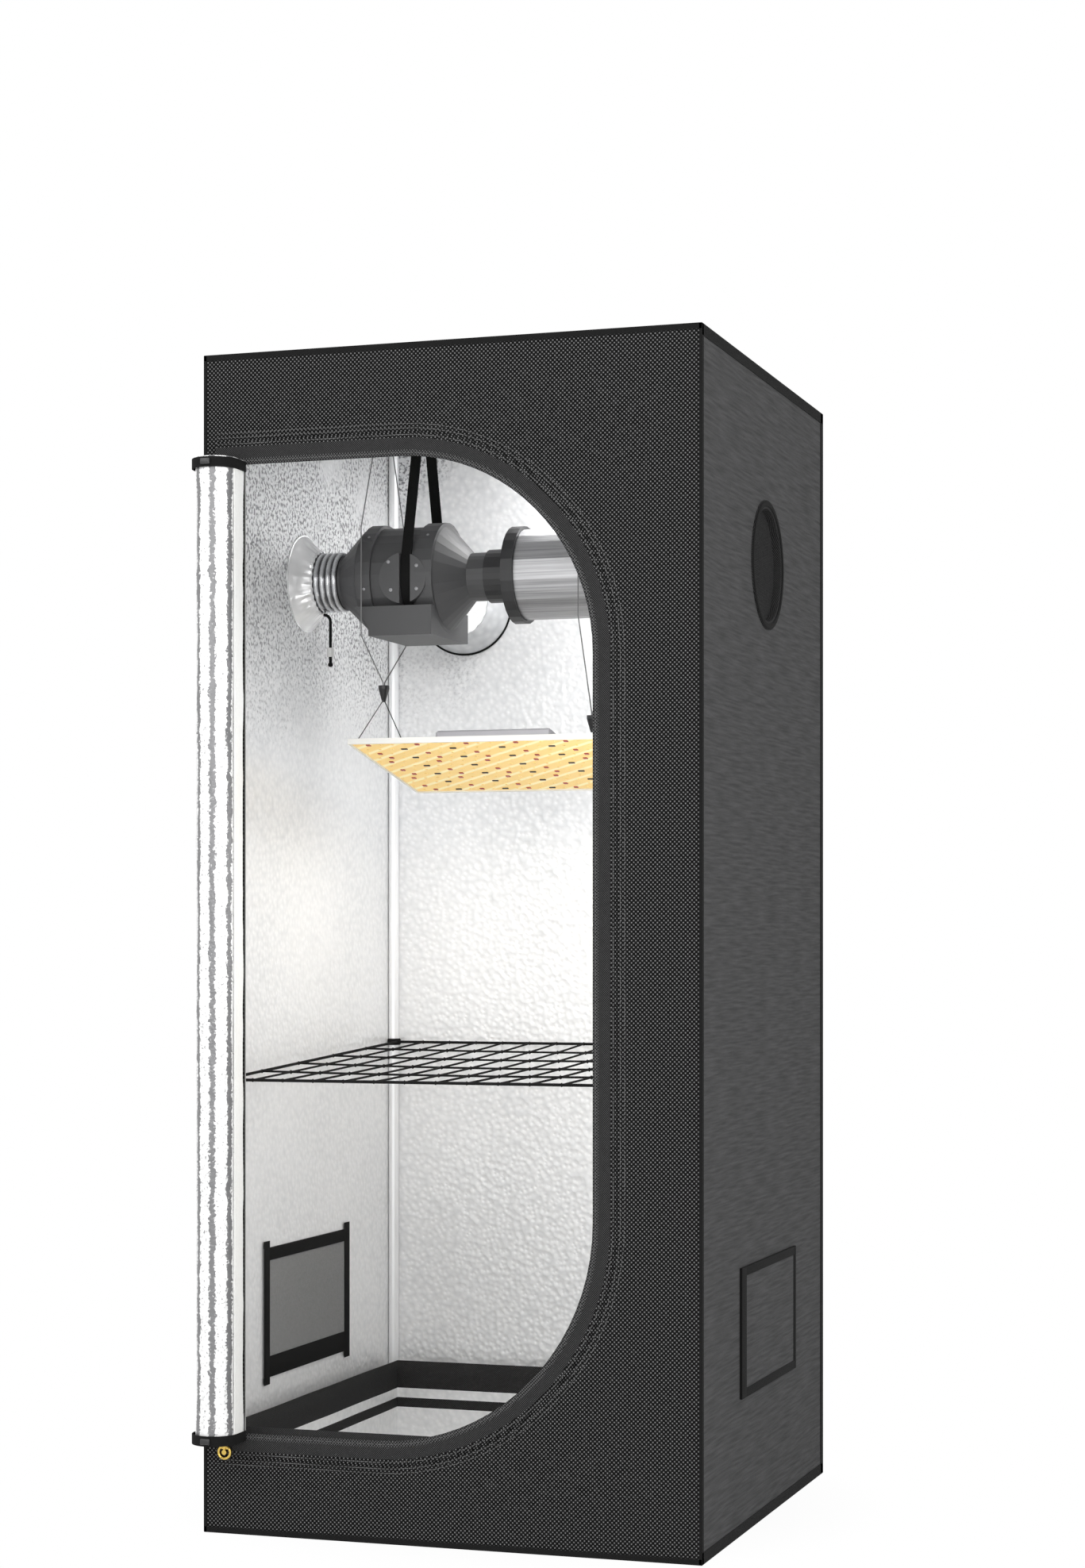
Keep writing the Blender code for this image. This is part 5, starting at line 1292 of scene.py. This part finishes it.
def fan_screws():
    """Screws in the fan's terminal cover and round its clamp rings."""
    screws = new_shape()
    for x, z in COVER_SCREWS:
        screw_head(screws, (x, COVER_FACE, z), (0, -1, 0), SCREW_RADIUS)
    for angle in range(15, 360, 60):
        out = Vector((0, math.sin(math.radians(angle)), math.cos(math.radians(angle))))
        for x in RING_MIDDLES:
            place = Vector((x, 0, PORT_Z)) + out * RING_RADIUS * RING_FLAT
            screw_head(screws, place, out, SCREW_RADIUS * RING_SCREW)
    finish_piece("fan_screws", screws, [SCREW_STEEL], "frame_steel")


def light_frame():
    """From the light's own tilted frame to the tent's, at the light's given place and tilt."""
    return Matrix.Translation(LIGHT_PLACE) @ Matrix.Rotation(-LIGHT_TILT, 4, "X")


def diodes():
    """Rows of small warm diodes under the board, with deep red ones and dark parts among them."""
    shape = new_shape()
    place = light_frame()
    for row in range(DIODE_ROWS):
        for column in range(DIODE_COLUMNS):
            x = ((column + 0.5) / DIODE_COLUMNS * 2 - 1) * LIGHT_REACH[0]
            y = ((row + 0.5) / DIODE_ROWS * 2 - 1) * LIGHT_REACH[1]
            shift = DIODE_SHIFT if row % 2 else -DIODE_SHIFT
            kind = 1 if column % 4 == 1 + row % 2 * 2 and row % 2 == 0 else 0
            kind = 2 if column % 4 == 3 and row % 2 == 1 else kind
            kind = 1 if column % 4 == 1 and row % 4 == 3 else kind
            size = DIODE_SIZES[kind]
            spot = Matrix.Translation((x + shift, y, -size[2] / 2)) @ Matrix.Diagonal((*size, 1))
            verts = bmesh.ops.create_cube(shape, size=1, matrix=place @ spot)["verts"]
            for face in {face for vert in verts for face in vert.link_faces}:
                face.material_index = kind
    finish_piece("light_diodes", shape, [PALE_DIODE, RED_DIODE, BLACK_PLASTIC], "diode_board", "light")
    screws = new_shape()
    up = place.to_3x3() @ Vector((0, 0, 1))
    for x in DRIVER_SCREWS:
        for y in (-DRIVER_SCREW_Y, DRIVER_SCREW_Y):
            screw_head(screws, place @ Vector((x, y, DRIVER_TOP)), up, SCREW_RADIUS)
    finish_piece("driver_screws", screws, [SCREW_STEEL], "frame_steel", "light")


def rope_route(x, spread, low_z, tip):
    """From the cone's tip up one strand, over the bar and down the other."""
    end = tip + CONE_HEIGHT + GAP
    over = arc((0, BAR_Z), POLE_RADIUS + GAP + ROPE_RADIUS, math.pi, 0, 10)
    front = [(-ROPE_EYE, end), (-ROPE_EYE, end + ROPE_NECK), (-spread, low_z), (-spread, ROPE_SPLIT_Z)]
    return [Vector((x, y, z)) for y, z in front + over + [(-y, z) for y, z in reversed(front)]]


def light_ropes():
    """Thin ropes over the bar that hang down to the light."""
    for hand, x, spread, low_z, tip in ROPES:
        route = rope_route(x, spread, low_z, tip)
        shape = new_shape()
        sweep(shape, round_section(ROPE_RADIUS, 8), stations(route, Vector((1, 0, 0))))
        look = ([ROPE_LOOK], "black_plastic")
        rope = finish_piece(f"{hand}_light_rope", shape, *look, None, [f"{hand}_rope"], 60)
        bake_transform(rope)


def net():
    """A net of knotted cords, with a hook round each upright."""
    shape = new_shape()

    def knot(i, j):
        across, deep = 2 * i / NET_ACROSS - 1, 2 * j / NET_DEEP - 1
        sag = NET_SAG * (1 - across**2) * (1 - deep**2)
        height = NET_MIDDLE_Z + NET_RISE / 2 * deep - sag
        return Vector((across * NET_REACH, deep * NET_REACH, height))

    lines = [([knot(i, k / 2) for k in range(2 * NET_DEEP + 1)], (1, 0, 0)) for i in range(NET_ACROSS + 1)]
    lines += [([knot(k, j) for k in range(NET_ACROSS + 1)], (0, 1, 0)) for j in range(NET_DEEP + 1)]
    borders = (0, NET_ACROSS, NET_ACROSS + 1, NET_ACROSS + NET_DEEP + 1)
    for number, (route, out) in enumerate(lines):
        radius = NET_BORDER if number in borders else NET_CORD
        sweep(shape, round_section(radius, 6), stations(route, Vector(out)))
    for i in range(NET_ACROSS + 1):
        for j in range(NET_DEEP + 1):
            spot = Matrix.Translation(knot(i, j))
            bmesh.ops.create_icosphere(shape, subdivisions=1, radius=NET_KNOT, matrix=spot)
    middle = POLE_RADIUS + GAP + HOOK_WALL / 2
    section = [(a * HOOK_WALL / 2, b * HOOK_HALF) for a, b in round_section(1, 8)]
    for side in (-1, 1):
        for front in (-1, 1):
            height = NET_MIDDLE_Z + NET_RISE / 2 * front
            spot = Vector((side * POLE_PLACE, front * POLE_PLACE, height))
            heading = math.atan2(-front, -side)
            turns = arc((0, 0), middle, heading - HOOK_TURN, heading + HOOK_TURN, 12)
            route = [spot + Vector((a, b, 0)) for a, b in turns]
            sweep(shape, section, stations(route, Vector((0, 0, 1))))
    finish_piece("plant_net", shape, [WEBBING], "black_web", "net", ["trellis_net"])


# Stage


def camera():
    data = bpy.data.cameras.new("camera")
    data.lens = FOCAL_PIXELS / FRAME_HEIGHT * SENSOR
    data.sensor_width = SENSOR
    data.shift_y = (HORIZON_PIXEL - FRAME_HEIGHT / 2) / FRAME_HEIGHT
    made = bpy.data.objects.new("camera", data)
    made.location = CAMERA_PLACE
    made.rotation_euler = (math.pi / 2, 0, CAMERA_YAW)
    bpy.context.scene.collection.objects.link(made)
    bpy.context.scene.camera = made


def lamp(name, place, target, size, power, colour):
    data = bpy.data.lights.new(name, "AREA")
    data.shape = "SQUARE"
    data.size = size
    data.energy = power
    data.color = colour
    made = bpy.data.objects.new(name, data)
    made.location = place
    made.rotation_euler = (Vector(target) - Vector(place)).to_track_quat("-Z", "Y").to_euler()
    made.visible_camera = False
    bpy.context.scene.collection.objects.link(made)


def seen_rays(tree):
    """1 on the rays that show the backdrop itself, 0 on those that only bring its light."""
    path = add(tree, "ShaderNodeLightPath").outputs
    seen = calc(tree, "MAXIMUM", path["Is Camera Ray"], path["Is Glossy Ray"])
    return calc(tree, "MAXIMUM", seen, path["Is Transmission Ray"])


def daylight():
    """An even light from all sides, seen as white."""
    world = bpy.data.worlds.new("studio")
    bpy.context.scene.world = world
    world.use_nodes = True
    tree = world.node_tree
    tree.nodes.clear()
    seen = seen_rays(tree)
    plain = add(tree, "ShaderNodeBackground", {"Color": tint(WHITE), "Strength": DAYLIGHT})
    white = add(tree, "ShaderNodeBackground", {"Color": tint(WHITE), "Strength": 1.0})
    mixed = add(tree, "ShaderNodeMixShader", {0: seen, 1: plain.outputs[0], 2: white.outputs[0]})
    add(tree, "ShaderNodeOutputWorld", {"Surface": mixed.outputs[0]})


def studio_floor():
    """A white floor that keeps a little of the shadow near the tent."""
    look, tree, shader, place = start_look("studio_floor", 0.9)
    shader.inputs["Base Color"].default_value = tint(STUDIO_GREY)
    seen = seen_rays(tree)
    far = add(tree, "ShaderNodeVectorMath", {0: place}, operation="LENGTH").outputs["Value"]
    paleness = calc(tree, "MINIMUM", calc(tree, "MULTIPLY_ADD", far, FLOOR_FADE, FLOOR_PALENESS), 1.0)
    backdrop = add(tree, "ShaderNodeEmission", {"Color": tint(WHITE), "Strength": 1.0})
    share = calc(tree, "MULTIPLY", seen, paleness)
    mixed = add(tree, "ShaderNodeMixShader", {0: share, 1: shader.outputs[0], 2: backdrop.outputs[0]})
    tree.links.new(mixed.outputs[0], tree.nodes["Material Output"].inputs["Surface"])
    shape = bmesh.new()
    bmesh.ops.create_grid(shape, x_segments=1, y_segments=1, size=STUDIO_REACH)
    floor = new_object("studio_floor", shape, [look])
    floor.location.z = -GAP


def surroundings():
    daylight()
    studio_floor()
    for made in LAMPS:
        lamp(*made)
    bpy.context.scene.view_settings.view_transform = "Standard"


camera()
dress_nodes()
drawcord()
cover()
bindings()
zip_cover()
rolled_door()
roll_trim()
roll_straps()
sleeves()
port_bindings()
vents()
tray()
line_strap("fan_strap", "fan_web_strap", FAN_STRAP_X, BARREL_RADIUS)
line_strap("filter_strap", "filter_web_strap", FILTER_STRAP_X, FILTER_RADIUS)
foil_duct()
fan_screws()
diodes()
light_ropes()
net()
surroundings()
